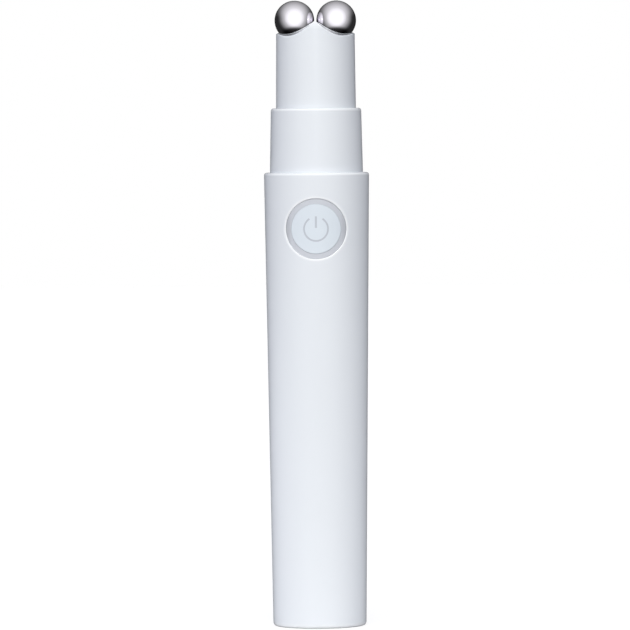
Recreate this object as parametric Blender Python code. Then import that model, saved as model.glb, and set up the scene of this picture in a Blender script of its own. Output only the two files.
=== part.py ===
"""Microcurrent face massager: a pen-shaped wand that stands on its flat end.

Two fixed metal ball electrodes sit in the top of a narrow head. A collar joins the head to a
tapered barrel, which holds the battery and the electronics. The one control is a round power
button with a light ring round it.

Metres, +Z up the wand from its flat end. The button faces -Y, and +X is to the button's right.
"""

import math

import bmesh
import bpy
from mathutils import Matrix, Vector

# Clearances
SEAT_GAP = 0.0002
SEAM_GAP = 0.00015
OVERRUN = 0.003
MERGE = 0.000001

# Barrel
BARREL_LENGTH = 0.10785
BARREL_TOP_RADIUS = 0.0125
BARREL_TAPER = 0.0014
BARREL_WALL = 0.0016
BARREL_BOTTOM_FILLET = 0.001
BARREL_TOP_FILLET = 0.0004
MOUTH_DEPTH = 0.0043

# Snap beads of the collar and the end cap, and the grooves that take them
BEAD_HEIGHT = 0.0003
BEAD_WIDTH = 0.0009
BEAD_FROM_END = 0.0011

# Collar
COLLAR_LENGTH = 0.0153
SHOULDER_WIDTH = 0.00146
COLLAR_TAPER = 0.0003
COLLAR_WALL = 0.0007
COLLAR_LEDGE = 0.0014
COLLAR_FILLET = 0.0004

# Head
HEAD_STEP = 0.00124
HEAD_TAPER = 0.00015
HEAD_WALL = 0.0012
HEAD_FLANGE = 0.0012
BALL_ABOVE_COLLAR = 0.02098
CEILING_ABOVE_BALL_FOOT = 0.0007
RIDGE_BELOW_BALL = 0.0003
ROOF_DEEPER_THAN_BALL = 0.0005
ROOF_SWELL_SHARE = 0.48
ROOF_FILL_SHARE = 0.6

# Ball electrodes and the seat that holds them
BALL_OVERHANG = 0.00035
BALL_GAP = 0.0005
BALL_FIT = 0.00012
SEAT_LIP = 0.00038
SEAT_FLOOR = 0.0043
LIP_RISE = 0.0001
BALL_THREAD_DEPTH = 0.0034

# Screws: the same small pan head screw everywhere, in three lengths
SCREW_RADIUS = 0.0008
SCREW_HOLE_PLAY = 0.0002
SCREW_HEAD_RADIUS = 0.0015
SCREW_HEAD_HEIGHT = 0.001
SCREW_DRIVE_RADIUS = 0.0007
SCREW_DRIVE_DEPTH = 0.0005
SCREW_BOSS_RADIUS = 0.0015
BOARD_SCREW_LENGTH = 0.0045
NECK_SCREW_LENGTH = 0.0042

# Solder lugs and wires
LUG_RADIUS = 0.0017
LUG_THICKNESS = 0.0005
LUG_TAIL_WIDTH = 0.0014
LUG_TAIL_LENGTH = 0.0018
WIRE_RADIUS = 0.00045
WIRE_START_BELOW_BOARD_TOP = 0.0022
WIRE_SPACING = 0.0044
WIRE_POINT_EVERY = 0.0022
WIRE_RISE_SHARES = (0.0, 0.18, 0.4, 0.7, 0.9, 1.0)
WIRE_SIDE_SHARES = (0.0, 0.0, 0.0, 1.0, 1.0, 1.0)
WIRE_BACK_SHARES = (1.0, 1.0, 0.8, 0.3, 0.0, 0.0)

# Neck frame
NECK_WALL = 0.0011
NECK_TIP_WALL = 0.0009
NECK_FLOOR = 0.0014
NECK_WINDOW_RIM = 0.0003
NECK_SCREW_ROOM = 0.00035
NECK_SCREW_ANGLE = math.radians(37)

# Button and light ring
BUTTON_BELOW_SHOULDER = 0.0131
RING_RADIUS = 0.00695
RING_WIDTH = 0.0011
RING_RECESS = 0.00015
RING_LIP = 0.0012
RING_FLANGE_WIDTH = 0.001
RING_FLANGE_THICKNESS = 0.0012
RING_TUBE_STEP = 0.0001
CAP_RECESS = 0.00022
CAP_FLANGE_WIDTH = 0.0005
CAP_FLANGE_THICKNESS = 0.001
CAP_RIM = 0.0012
CAP_HOLLOW_DEPTH = 0.0013
CAP_STEM_RADIUS = 0.0014
BUTTON_TRAVEL = 0.0004
SYMBOL_RADIUS = 0.00283
SYMBOL_LINE = 0.0004
SYMBOL_BAR_LINE = 0.00048
SYMBOL_BAR_LENGTH = 0.0027
SYMBOL_BAR_START = 0.00025
SYMBOL_GAP = math.radians(33)
SYMBOL_DEPTH = 0.00015

# Push switch
SWITCH_WIDTH = 0.006
SWITCH_HEIGHT = 0.0035
PLUNGER_RADIUS = 0.0017
PLUNGER_REACH = 0.0041
PLUNGER_ROOT = 0.0007

# Circuit board
BOARD_FRONT = 0.00145
BOARD_THICKNESS = 0.0012
BOARD_TAIL_LENGTH = 0.0075
BOARD_SCREW_INSET = 0.00305
BOARD_SCREW_HEIGHT_SHARES = (0.16, 0.815)

# Chassis
CHASSIS_WALL = 0.0012
CHASSIS_FRONT = 0.0
CHASSIS_TOP_PLATE = 0.0017
CHASSIS_BOTTOM_PLATE = 0.0016
NECK_BOSS_LENGTH = 0.0046

# Lights
LED_SIZE = 0.0016
LED_HEIGHT = 0.0006
LED_ANGLES = (45, 135, 225, 315)

# Battery, its pad, leads and plug
BATTERY_FRONT_ROOM = 0.00366
BATTERY_SIDE_ROOM = 0.0017
BATTERY_HEADROOM = 0.0166
BATTERY_ROUNDING = 0.0012
PAD_THICKNESS = 0.0008
PAD_INSET = 0.001
PLUG_WIDTH = 0.006
PLUG_DEPTH = 0.004
PLUG_HEIGHT = 0.0045
PLUG_ABOVE_TAIL = 0.012
LEAD_LENGTH = 0.006
LEAD_RADIUS = 0.0005
LEAD_SPACING = 0.0026
LEAD_STRAIGHT_SHARE = 0.25

# End cap and charging socket
CAP_FLOOR = 0.0016
CAP_SKIRT_LENGTH = 0.0065
CAP_SKIRT_WALL = 0.0016
CAP_EDGE = 0.0002
SEAL_THICKNESS = 0.0009
SEAL_FROM_FLOOR = 0.0006
SEAL_GAP = 0.0001
SOCKET_WIDTH = 0.0075
SOCKET_HEIGHT = 0.0025
SOCKET_LENGTH = 0.005
SOCKET_WALL = 0.0003
SOCKET_CORNER = 0.0006
SOCKET_SETBACK = 0.0004
TONGUE_WIDTH = 0.0038
TONGUE_THICKNESS = 0.0006
TONGUE_LENGTH = 0.0024
TONGUE_ROOT_LENGTH = 0.0009

# Components on the back of the board, each with its width, height and length
CHIP_EDGE = 0.0002
CONTROLLER_SIZE = (0.005, 0.0009, 0.005)
CHARGER_SIZE = (0.004, 0.0014, 0.005)
INDUCTOR_SIZE = (0.005, 0.0024, 0.005)
TRANSFORMER_SIZE = (0.0065, 0.0035, 0.008)
CAPACITOR_RADIUS = 0.002
CAPACITOR_HEIGHT = 0.0036
BUZZER_RADIUS = 0.0045
BUZZER_HEIGHT = 0.0022
BUZZER_HOLE_RADIUS = 0.0009
BUZZER_HOLE_DEPTH = 0.0006
CHARGER_HEIGHT_SHARE = 0.11
BUZZER_HEIGHT_SHARE = 0.27
INDUCTOR_HEIGHT_SHARE = 0.42
CAPACITOR_HEIGHT_SHARE = 0.51
TRANSFORMER_HEIGHT_SHARE = 0.62
CONTROLLER_HEIGHT_SHARE = 0.735

# How finely round pieces are divided
SHELL_STEPS = 44
TUBE_STEPS = 28
BALL_STEPS = 24
ROOF_STEPS = 12
DISC_STEPS = 20
PIN_STEPS = 12
SYMBOL_STEPS = 24
FILLET_POINTS = 3
SEAL_POINTS = 8
SHARP_ANGLE = math.radians(30)
FACING_FRONT = (math.radians(90), 0, 0)
FACING_BACK = (math.radians(-90), 0, 0)
FACING_DOWN = (math.radians(180), 0, 0)

# Heights and radii worked out from the sizes above
BARREL_BOTTOM_RADIUS = BARREL_TOP_RADIUS - BARREL_TAPER
COLLAR_FOOT_RADIUS = BARREL_TOP_RADIUS - SHOULDER_WIDTH
COLLAR_TOP_RADIUS = COLLAR_FOOT_RADIUS - COLLAR_TAPER
COLLAR_BORE = COLLAR_TOP_RADIUS - COLLAR_WALL
COLLAR_TOP = BARREL_LENGTH + COLLAR_LENGTH
MOUTH_RADIUS = COLLAR_FOOT_RADIUS + SEAM_GAP
MOUTH_FLOOR = BARREL_LENGTH - MOUTH_DEPTH
COLLAR_BOTTOM = MOUTH_FLOOR + SEAT_GAP
HEAD_FOOT_RADIUS = COLLAR_TOP_RADIUS - HEAD_STEP
HEAD_TOP_RADIUS = HEAD_FOOT_RADIUS - HEAD_TAPER
HEAD_BORE = HEAD_TOP_RADIUS - HEAD_WALL
FLANGE_TOP = COLLAR_TOP - COLLAR_LEDGE - SEAT_GAP
FLANGE_BOTTOM = FLANGE_TOP - HEAD_FLANGE
BALL_HEIGHT = COLLAR_TOP + BALL_ABOVE_COLLAR
BALL_RADIUS = (HEAD_TOP_RADIUS + BALL_OVERHANG - BALL_GAP / 2) / 2
BALL_SIDE = BALL_RADIUS + BALL_GAP / 2
CUP_RADIUS = BALL_RADIUS + BALL_FIT
SEAT_RADIUS = CUP_RADIUS + SEAT_LIP
SOCKET_RADIUS = SEAT_RADIUS + SEAM_GAP
CEILING = BALL_HEIGHT - BALL_RADIUS + CEILING_ABOVE_BALL_FOOT
ROOF_DEPTH = BALL_RADIUS + ROOF_DEEPER_THAN_BALL
RIDGE = BALL_HEIGHT - RIDGE_BELOW_BALL
SEAT_TOP = CEILING - SEAT_GAP
SEAT_BOTTOM = SEAT_TOP - SEAT_FLOOR
NECK_TOP = SEAT_BOTTOM - SEAT_GAP
CHASSIS_TOP = COLLAR_BOTTOM - SEAT_GAP
CHASSIS_BOTTOM = CAP_SKIRT_LENGTH + SEAT_GAP
NECK_BOTTOM = CHASSIS_TOP + SEAT_GAP
BUTTON_HEIGHT = BARREL_LENGTH - BUTTON_BELOW_SHOULDER
BOARD_BACK = BOARD_FRONT + BOARD_THICKNESS
BOARD_BOTTOM = CAP_FLOOR + SEAT_GAP
BOARD_TOP = CHASSIS_TOP - CHASSIS_TOP_PLATE - SEAT_GAP
SCREW_HOLE_RADIUS = SCREW_RADIUS + SCREW_HOLE_PLAY
NECK_SCREW_REACH = COLLAR_BORE - SEAT_GAP - NECK_WALL - SCREW_HEAD_RADIUS - NECK_SCREW_ROOM
NECK_SCREW_SIDE = NECK_SCREW_REACH * math.sin(NECK_SCREW_ANGLE)
NECK_SCREW_BACK = NECK_SCREW_REACH * math.cos(NECK_SCREW_ANGLE)
NECK_WINDOW_RADIUS = NECK_SCREW_REACH - SCREW_BOSS_RADIUS - NECK_WINDOW_RIM
SOLDER_FRONT = BOARD_FRONT - SEAT_GAP
SOLDER_BACK = BOARD_BACK + SEAT_GAP


def barrel_radius(height):
    """Outer radius of the barrel, which tapers evenly down to its flat end."""
    return BARREL_BOTTOM_RADIUS + (BARREL_TOP_RADIUS - BARREL_BOTTOM_RADIUS) * height / BARREL_LENGTH


def board_height(share):
    """Height of a point on the board, as a share of the board's length."""
    return BOARD_BOTTOM + (BOARD_TOP - BOARD_BOTTOM) * share


def chord(radius, offset):
    """Half width of a circle at an offset from its centre."""
    return math.sqrt(radius * radius - offset * offset)


def surface(name, colour, roughness, metallic=0.0):
    """The piece's own material."""
    material = bpy.data.materials.new(name)
    material.use_nodes = True
    shader = material.node_tree.nodes["Principled BSDF"]
    shader.inputs["Base Color"].default_value = (*colour, 1.0)
    shader.inputs["Roughness"].default_value = roughness
    shader.inputs["Metallic"].default_value = metallic
    material.diffuse_color = (*colour, 1.0)
    return material


WHITE_GLOSS = ((0.80, 0.83, 0.87), 0.18, 0.0)
WHITE_INNER = ((0.70, 0.71, 0.72), 0.45, 0.0)
LIGHT_GUIDE = ((0.60, 0.62, 0.67), 0.30, 0.0)
BUTTON_WHITE = ((0.72, 0.78, 0.84), 0.25, 0.0)
CHROME = ((0.78, 0.79, 0.80), 0.05, 1.0)
STEEL = ((0.60, 0.60, 0.62), 0.30, 1.0)
BRASS = ((0.72, 0.55, 0.28), 0.30, 1.0)
BLACK_PLASTIC = ((0.02, 0.02, 0.022), 0.40, 0.0)
GREEN_BOARD = ((0.02, 0.12, 0.05), 0.45, 0.0)
FOAM_GREY = ((0.10, 0.10, 0.11), 0.90, 0.0)
SILVER_FOIL = ((0.62, 0.63, 0.65), 0.40, 0.8)
SEAL_GREY = ((0.16, 0.16, 0.17), 0.65, 0.0)
RED_WIRE = ((0.50, 0.02, 0.02), 0.45, 0.0)
BLUE_WIRE = ((0.03, 0.10, 0.45), 0.45, 0.0)
BLACK_WIRE = ((0.015, 0.015, 0.015), 0.45, 0.0)
LED_YELLOW = ((0.75, 0.72, 0.50), 0.35, 0.0)
COPPER_BROWN = ((0.35, 0.13, 0.05), 0.40, 0.6)


def add(name, bm, finish, place=(0, 0, 0), turn=(0, 0, 0)):
    """A piece of the wand, with its own material, from a finished bmesh."""
    mesh = bpy.data.meshes.new(name)
    bm.to_mesh(mesh)
    bm.free()
    mesh.shade_smooth()
    mesh.set_sharp_from_angle(angle=SHARP_ANGLE)
    piece = bpy.data.objects.new(name, mesh)
    bpy.context.scene.collection.objects.link(piece)
    piece.location = place
    piece.rotation_euler = turn
    if finish is not None:
        piece.data.materials.append(surface(name + "_finish", *finish))
    return piece


def add_tool(name, bm, place=(0, 0, 0), turn=(0, 0, 0)):
    """A shape that only cuts, joins or trims other pieces."""
    tool = add(name, bm, None, place, turn)
    tool.hide_render = True
    tool.display_type = "WIRE"
    return tool


def combine(piece, operation, *tools):
    """Cut, join or trim a piece with each tool in turn."""
    for tool in tools:
        step = piece.modifiers.new(tool.name, "BOOLEAN")
        step.operation = operation
        step.object = tool
        step.solver = "EXACT"


def soften(piece, width, segments=1):
    """Break a piece's sharp edges."""
    bevel = piece.modifiers.new("edges", "BEVEL")
    bevel.width = width
    bevel.segments = segments
    bevel.limit_method = "ANGLE"


def fillet(radius, height, size, start, end):
    """Points of a quarter round in an outline, by its centre, size and angles in degrees."""
    angles = [math.radians(start + (end - start) * i / FILLET_POINTS) for i in range(FILLET_POINTS + 1)]
    return [(radius + size * math.cos(a), height + size * math.sin(a)) for a in angles]


def turned(outline, steps):
    """A solid turned about Z from (radius, height) points. It closes on the axis or on itself."""
    bm = bmesh.new()
    verts = [bm.verts.new((radius, 0, height)) for radius, height in outline]
    edges = [bm.edges.new(pair) for pair in zip(verts, verts[1:])]
    if outline[0][0] > 0:
        edges.append(bm.edges.new((verts[-1], verts[0])))
    bmesh.ops.spin(
        bm, geom=verts + edges, cent=(0, 0, 0), axis=(0, 0, 1),
        angle=math.radians(360), steps=steps, use_merge=True,
    )
    bmesh.ops.remove_doubles(bm, verts=bm.verts, dist=MERGE)
    bmesh.ops.recalc_face_normals(bm, faces=bm.faces)
    return bm


def rod(radius, bottom, top, steps=PIN_STEPS):
    """A plain round bar along Z."""
    return turned([(0, bottom), (radius, bottom), (radius, top), (0, top)], steps)


def ball(radius, steps=BALL_STEPS):
    """A sphere about the origin, turned a little so that its edges miss those of the pieces it cuts."""
    bm = bmesh.new()
    bmesh.ops.create_uvsphere(bm, u_segments=steps, v_segments=steps // 2, radius=radius)
    turn = Matrix.Rotation(math.radians(360) / steps / 4, 3, "Z")
    bmesh.ops.rotate(bm, verts=bm.verts, cent=(0, 0, 0), matrix=turn)
    return bm


def block(low, high):
    """A box between two corners, about the origin, and its centre."""
    size = Vector(high) - Vector(low)
    bm = bmesh.new()
    bmesh.ops.create_cube(bm, size=1)
    bmesh.ops.scale(bm, verts=bm.verts, vec=size)
    return bm, (Vector(low) + Vector(high)) / 2


def add_block(name, low, high, finish, edge=0.0):
    """A box-shaped piece with softened edges."""
    bm, centre = block(low, high)
    piece = add(name, bm, finish, centre)
    if edge > 0:
        soften(piece, edge)
    return piece


def block_tool(name, low, high):
    """A box-shaped tool."""
    bm, centre = block(low, high)
    return add_tool(name, bm, centre)


def inside_barrel(name, offset):
    """The barrel's outer form, shrunk by an offset, which trims what lies inside the barrel."""
    low = -OVERRUN
    high = BARREL_LENGTH + OVERRUN
    outline = [
        (0, low),
        (barrel_radius(low) - offset, low),
        (barrel_radius(high) - offset, high),
        (0, high),
    ]
    return add_tool(name, turned(outline, SHELL_STEPS))


def above_roof(name, crest):
    """Everything above a roof with a level ridge from front to back, whose sides fall in a wave.

    The fall is steepest beside the ridge and levels out at the head's side. It is shallower
    towards the two sides and in the middle of the head, so the roof swells up round each ball.
    """
    reach = HEAD_FOOT_RADIUS + OVERRUN
    bm = bmesh.new()
    bmesh.ops.create_grid(bm, x_segments=ROOF_STEPS, y_segments=ROOF_STEPS, size=reach)
    for vert in bm.verts:
        beside = min(1, abs(vert.co.x) / HEAD_TOP_RADIUS)
        across = (vert.co.x / HEAD_TOP_RADIUS) ** 2
        along = (vert.co.y / HEAD_TOP_RADIUS) ** 2
        swell = ROOF_SWELL_SHARE * (across + ROOF_FILL_SHARE * (1 - across - along))
        vert.co.z = crest - ROOF_DEPTH * math.sin(math.radians(90) * beside) * (1 - swell)
    lid = bmesh.ops.extrude_face_region(bm, geom=bm.faces[:])
    for element in lid["geom"]:
        if isinstance(element, bmesh.types.BMVert):
            element.co.z = crest + reach
    bmesh.ops.recalc_face_normals(bm, faces=bm.faces)
    return add_tool(name, bm)


def make_barrel():
    """The tapered sleeve, open at both ends, with a snap groove near each end."""
    wall_at = [barrel_radius(0) - BARREL_WALL, barrel_radius(MOUTH_FLOOR) - BARREL_WALL]
    bead_low = CAP_SKIRT_LENGTH - BEAD_FROM_END - BEAD_WIDTH
    bead_top = CAP_SKIRT_LENGTH - BEAD_FROM_END
    cap_groove = barrel_radius(bead_low) - BARREL_WALL
    mouth_low = COLLAR_BOTTOM + BEAD_FROM_END - SEAT_GAP
    mouth_top = mouth_low + BEAD_WIDTH + SEAT_GAP * 2
    outline = [
        *fillet(BARREL_BOTTOM_RADIUS - BARREL_BOTTOM_FILLET, BARREL_BOTTOM_FILLET,
                BARREL_BOTTOM_FILLET, -90, 0),
        *fillet(BARREL_TOP_RADIUS - BARREL_TOP_FILLET, BARREL_LENGTH - BARREL_TOP_FILLET,
                BARREL_TOP_FILLET, 0, 90),
        (MOUTH_RADIUS, BARREL_LENGTH),
        (MOUTH_RADIUS, mouth_top + BEAD_HEIGHT),
        (MOUTH_RADIUS + BEAD_HEIGHT, mouth_top),
        (MOUTH_RADIUS + BEAD_HEIGHT, mouth_low),
        (MOUTH_RADIUS, mouth_low - BEAD_HEIGHT),
        (MOUTH_RADIUS, MOUTH_FLOOR),
        (wall_at[1], MOUTH_FLOOR),
        (cap_groove, bead_top + SEAT_GAP + BEAD_HEIGHT),
        (cap_groove + BEAD_HEIGHT, bead_top + SEAT_GAP),
        (cap_groove + BEAD_HEIGHT, bead_low - SEAT_GAP),
        (cap_groove, bead_low - SEAT_GAP - BEAD_HEIGHT),
        (wall_at[0], 0),
    ]
    barrel = add("barrel", turned(outline, SHELL_STEPS), WHITE_GLOSS)
    hole = add_tool(
        "button_hole", rod(RING_RADIUS + SEAM_GAP, 0, BARREL_TOP_RADIUS + OVERRUN, SHELL_STEPS),
        (0, 0, BUTTON_HEIGHT), FACING_FRONT,
    )
    combine(barrel, "DIFFERENCE", hole)


def make_end_cap():
    """The base: a flush disc with a snap-in skirt, a seal groove and the charging slot."""
    radius = barrel_radius(0) - BARREL_WALL - SEAT_GAP
    bore = radius - CAP_SKIRT_WALL
    groove_floor = radius - SEAL_THICKNESS + SEAL_GAP
    groove_low = CAP_FLOOR + SEAL_FROM_FLOOR
    groove_top = groove_low + SEAL_THICKNESS + SEAL_GAP * 2
    bead_top = CAP_SKIRT_LENGTH - BEAD_FROM_END
    outline = [
        (0, 0),
        (radius - CAP_EDGE, 0),
        (radius, CAP_EDGE),
        (radius, groove_low),
        (groove_floor, groove_low),
        (groove_floor, groove_top),
        (radius, groove_top),
        (radius, bead_top - BEAD_WIDTH),
        (radius + BEAD_HEIGHT, bead_top - BEAD_WIDTH / 2),
        (radius, bead_top),
        (radius, CAP_SKIRT_LENGTH - CAP_EDGE),
        (radius - CAP_EDGE, CAP_SKIRT_LENGTH),
        (bore, CAP_SKIRT_LENGTH),
        (bore, CAP_FLOOR),
        (0, CAP_FLOOR),
    ]
    end_cap = add("end_cap", turned(outline, SHELL_STEPS), WHITE_GLOSS)
    slot_side = SOCKET_WIDTH / 2 + SEAT_GAP
    slot_front = SOCKET_HEIGHT / 2 + SEAT_GAP
    slot = block_tool(
        "charging_slot", (-slot_side, -slot_front, -OVERRUN), (slot_side, slot_front, CAP_FLOOR + OVERRUN)
    )
    corners = slot.modifiers.new("corners", "BEVEL")
    corners.width = SOCKET_CORNER + SEAT_GAP
    corners.segments = 3
    corners.limit_method = "ANGLE"
    combine(end_cap, "DIFFERENCE", slot)

    section = SEAL_THICKNESS / 2
    middle = groove_floor + SEAL_GAP + section
    height = (groove_low + groove_top) / 2
    ring = [math.radians(360) * i / SEAL_POINTS for i in range(SEAL_POINTS)]
    seal_outline = [(middle + section * math.cos(a), height + section * math.sin(a)) for a in ring]
    add("end_cap_seal", turned(seal_outline, TUBE_STEPS), SEAL_GREY)


def make_collar():
    """The stepped sleeve between barrel and head, with a ledge that traps the head's flange."""
    bead_low = COLLAR_BOTTOM + BEAD_FROM_END
    outline = [
        (COLLAR_BORE, COLLAR_BOTTOM),
        (COLLAR_FOOT_RADIUS, COLLAR_BOTTOM),
        (COLLAR_FOOT_RADIUS, bead_low),
        (COLLAR_FOOT_RADIUS + BEAD_HEIGHT, bead_low + BEAD_WIDTH / 2),
        (COLLAR_FOOT_RADIUS, bead_low + BEAD_WIDTH),
        (COLLAR_FOOT_RADIUS, BARREL_LENGTH),
        *fillet(COLLAR_TOP_RADIUS - COLLAR_FILLET, COLLAR_TOP - COLLAR_FILLET, COLLAR_FILLET, 0, 90),
        (HEAD_FOOT_RADIUS + SEAM_GAP, COLLAR_TOP),
        (HEAD_FOOT_RADIUS + SEAM_GAP, COLLAR_TOP - COLLAR_LEDGE),
        (COLLAR_BORE, COLLAR_TOP - COLLAR_LEDGE),
    ]
    add("collar", turned(outline, SHELL_STEPS), WHITE_GLOSS)


def make_head():
    """The head: a tube with a ridged roof, two ball sockets, and a flange at its foot."""
    outline = [
        (HEAD_BORE, FLANGE_BOTTOM),
        (COLLAR_BORE - SEAM_GAP, FLANGE_BOTTOM),
        (COLLAR_BORE - SEAM_GAP, FLANGE_TOP),
        (HEAD_FOOT_RADIUS, FLANGE_TOP),
        (HEAD_FOOT_RADIUS, COLLAR_TOP),
        (HEAD_TOP_RADIUS, CEILING),
        (HEAD_TOP_RADIUS, RIDGE + OVERRUN / 2),
        (0, RIDGE + OVERRUN / 2),
        (0, CEILING),
        (HEAD_BORE, CEILING),
    ]
    head = add("head_shell", turned_cup(outline), WHITE_GLOSS)
    roof = above_roof("head_roof", RIDGE)
    sockets = [
        add_tool(f"ball_socket_{side}", ball(SOCKET_RADIUS), (place, 0, BALL_HEIGHT))
        for side, place in (("left", -BALL_SIDE), ("right", BALL_SIDE))
    ]
    combine(head, "DIFFERENCE", roof, *sockets)


def turned_cup(outline):
    """A cup turned from a closed outline that runs along the axis for one stretch."""
    start = next(i for i, point in enumerate(outline) if point[0] == 0 and outline[i - 1][0] == 0)
    return turned(outline[start:] + outline[:start], SHELL_STEPS)


def make_electrode_seat():
    """The insulating insert: a round floor that carries two thin cups for the balls."""
    places = (("left", -BALL_SIDE), ("right", BALL_SIDE))
    seat = add("electrode_seat", ball(SEAT_RADIUS), WHITE_GLOSS, (-BALL_SIDE, 0, BALL_HEIGHT))
    other = add_tool("seat_cup_right", ball(SEAT_RADIUS), (BALL_SIDE, 0, BALL_HEIGHT))
    lips = above_roof("seat_lips", RIDGE + LIP_RISE)
    trim_radius = HEAD_TOP_RADIUS - SEAM_GAP / 2
    trim = add_tool("seat_trim", rod(trim_radius, SEAT_BOTTOM, BALL_HEIGHT + OVERRUN, SHELL_STEPS))
    floor = add_tool("seat_floor", rod(HEAD_BORE - SEAM_GAP, SEAT_BOTTOM, SEAT_TOP, SHELL_STEPS))
    combine(seat, "UNION", other)
    combine(seat, "DIFFERENCE", lips)
    combine(seat, "INTERSECT", trim)
    combine(seat, "UNION", floor)
    for side, place in places:
        cup = add_tool(f"ball_cup_{side}", ball(CUP_RADIUS), (place, 0, BALL_HEIGHT))
        hole = add_tool(
            f"seat_hole_{side}", rod(SCREW_HOLE_RADIUS, -OVERRUN, SEAT_FLOOR + OVERRUN),
            (place, 0, SEAT_BOTTOM),
        )
        combine(seat, "DIFFERENCE", cup, hole)


def add_screw(name, place, turn, length):
    """A pan head screw. Its head lies above its origin and its shank below it."""
    outline = [
        (0, -length),
        (SCREW_RADIUS, -length),
        (SCREW_RADIUS, 0),
        (SCREW_HEAD_RADIUS, 0),
        (SCREW_HEAD_RADIUS, SCREW_HEAD_HEIGHT / 2),
        (SCREW_DRIVE_RADIUS, SCREW_HEAD_HEIGHT),
        (0, SCREW_HEAD_HEIGHT - SCREW_DRIVE_DEPTH),
    ]
    return add(name, turned(outline, PIN_STEPS), STEEL, place, turn)


def make_electrodes():
    """The two fixed balls, each held by a screw from below that also clamps its solder lug."""
    lug_top = SEAT_BOTTOM - SEAT_GAP
    lug_bottom = lug_top - LUG_THICKNESS
    screw_top = BALL_HEIGHT - CUP_RADIUS + BALL_THREAD_DEPTH
    for side, sign in (("left", -1), ("right", 1)):
        place = sign * BALL_SIDE
        electrode = add(f"ball_{side}", ball(BALL_RADIUS), CHROME, (place, 0, BALL_HEIGHT))
        thread = add_tool(
            f"ball_thread_{side}",
            rod(SCREW_HOLE_RADIUS, -BALL_RADIUS - OVERRUN, BALL_THREAD_DEPTH - CUP_RADIUS + SEAT_GAP),
            (place, 0, BALL_HEIGHT),
        )
        combine(electrode, "DIFFERENCE", thread)

        head_seat = lug_bottom - SEAT_GAP
        add_screw(f"ball_screw_{side}", (place, 0, head_seat), FACING_DOWN, screw_top - head_seat)

        lug = add(
            f"solder_lug_{side}", rod(LUG_RADIUS, 0, LUG_THICKNESS, DISC_STEPS), BRASS, (place, 0, lug_bottom)
        )
        tail_end = place - sign * (LUG_RADIUS + LUG_TAIL_LENGTH)
        tail = block_tool(
            f"lug_tail_{side}",
            (min(place, tail_end), -LUG_TAIL_WIDTH / 2, lug_bottom),
            (max(place, tail_end), LUG_TAIL_WIDTH / 2, lug_top),
        )
        hole = add_tool(
            f"lug_hole_{side}", rod(SCREW_HOLE_RADIUS, -OVERRUN, OVERRUN), (place, 0, lug_bottom)
        )
        combine(lug, "UNION", tail)
        combine(lug, "DIFFERENCE", hole)

        wire_back = SOLDER_BACK + WIRE_RADIUS
        wire_side = sign * WIRE_SPACING / 2
        wire_foot = BOARD_TOP - WIRE_START_BELOW_BOARD_TOP
        wire_top = lug_bottom - SEAT_GAP
        lug_side = tail_end + sign * (WIRE_RADIUS + SEAT_GAP)
        rise = wire_top - wire_foot
        route = [
            (wire_side + (lug_side - wire_side) * across, wire_back * back, wire_foot + rise * up)
            for across, back, up in zip(WIRE_SIDE_SHARES, WIRE_BACK_SHARES, WIRE_RISE_SHARES)
        ]
        add_wire(f"electrode_wire_{side}", route, WIRE_RADIUS, BLUE_WIRE)


def smooth_route(points, every):
    """Points along the smooth curve that passes through a route's own points."""
    knots = [Vector(point) for point in points]
    padded = [knots[0] * 2 - knots[1], *knots, knots[-1] * 2 - knots[-2]]
    route = [knots[0]]
    for before, start, end, after in zip(padded, padded[1:], padded[2:], padded[3:]):
        count = max(1, round((end - start).length / every))
        for i in range(1, count + 1):
            t = i / count
            route.append((
                start * 2
                + (end - before) * t
                + (before * 2 - start * 5 + end * 4 - after) * t ** 2
                + (start * 3 - before - end * 3 + after) * t ** 3
            ) / 2)
    return route


def add_wire(name, points, radius, finish):
    """A round insulated wire with closed ends."""
    route = smooth_route(points, WIRE_POINT_EVERY)
    curve = bpy.data.curves.new(name, "CURVE")
    curve.dimensions = "3D"
    curve.bevel_depth = radius
    curve.bevel_resolution = 2
    curve.use_fill_caps = True
    spline = curve.splines.new("POLY")
    spline.points.add(len(route) - 1)
    for point, place in zip(spline.points, route):
        point.co = (*place, 1.0)
    wire = bpy.data.objects.new(name, curve)
    bpy.context.scene.collection.objects.link(wire)
    curve.materials.append(surface(name + "_finish", *finish))
    return wire


def make_neck_frame():
    """The inner tube that stands on the chassis and holds the head's flange and the seat up."""
    tube = COLLAR_BORE - SEAT_GAP
    tip = HEAD_BORE - SEAT_GAP
    step = FLANGE_BOTTOM - SEAT_GAP
    outline = [
        (NECK_WINDOW_RADIUS, NECK_BOTTOM),
        (tube, NECK_BOTTOM),
        (tube, step),
        (tip, step),
        (tip, NECK_TOP),
        (tip - NECK_TIP_WALL, NECK_TOP),
        (tip - NECK_TIP_WALL, step - NECK_WALL),
        (tube - NECK_WALL, step - NECK_WALL),
        (tube - NECK_WALL, NECK_BOTTOM + NECK_FLOOR),
        (NECK_WINDOW_RADIUS, NECK_BOTTOM + NECK_FLOOR),
    ]
    frame = add("neck_frame", turned(outline, TUBE_STEPS), WHITE_INNER)
    seat = NECK_BOTTOM + NECK_FLOOR + SEAT_GAP
    for side, place in (("left", -NECK_SCREW_SIDE), ("right", NECK_SCREW_SIDE)):
        hole = add_tool(
            f"neck_hole_{side}", rod(SCREW_HOLE_RADIUS, -OVERRUN, OVERRUN),
            (place, NECK_SCREW_BACK, NECK_BOTTOM),
        )
        combine(frame, "DIFFERENCE", hole)
        add_screw(f"neck_screw_{side}", (place, NECK_SCREW_BACK, seat), (0, 0, 0), NECK_SCREW_LENGTH)


def ring_back():
    """How far forward of the wand's axis the light ring's tube ends, just clear of the lights."""
    return LED_HEIGHT + SEAT_GAP - SOLDER_FRONT


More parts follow.
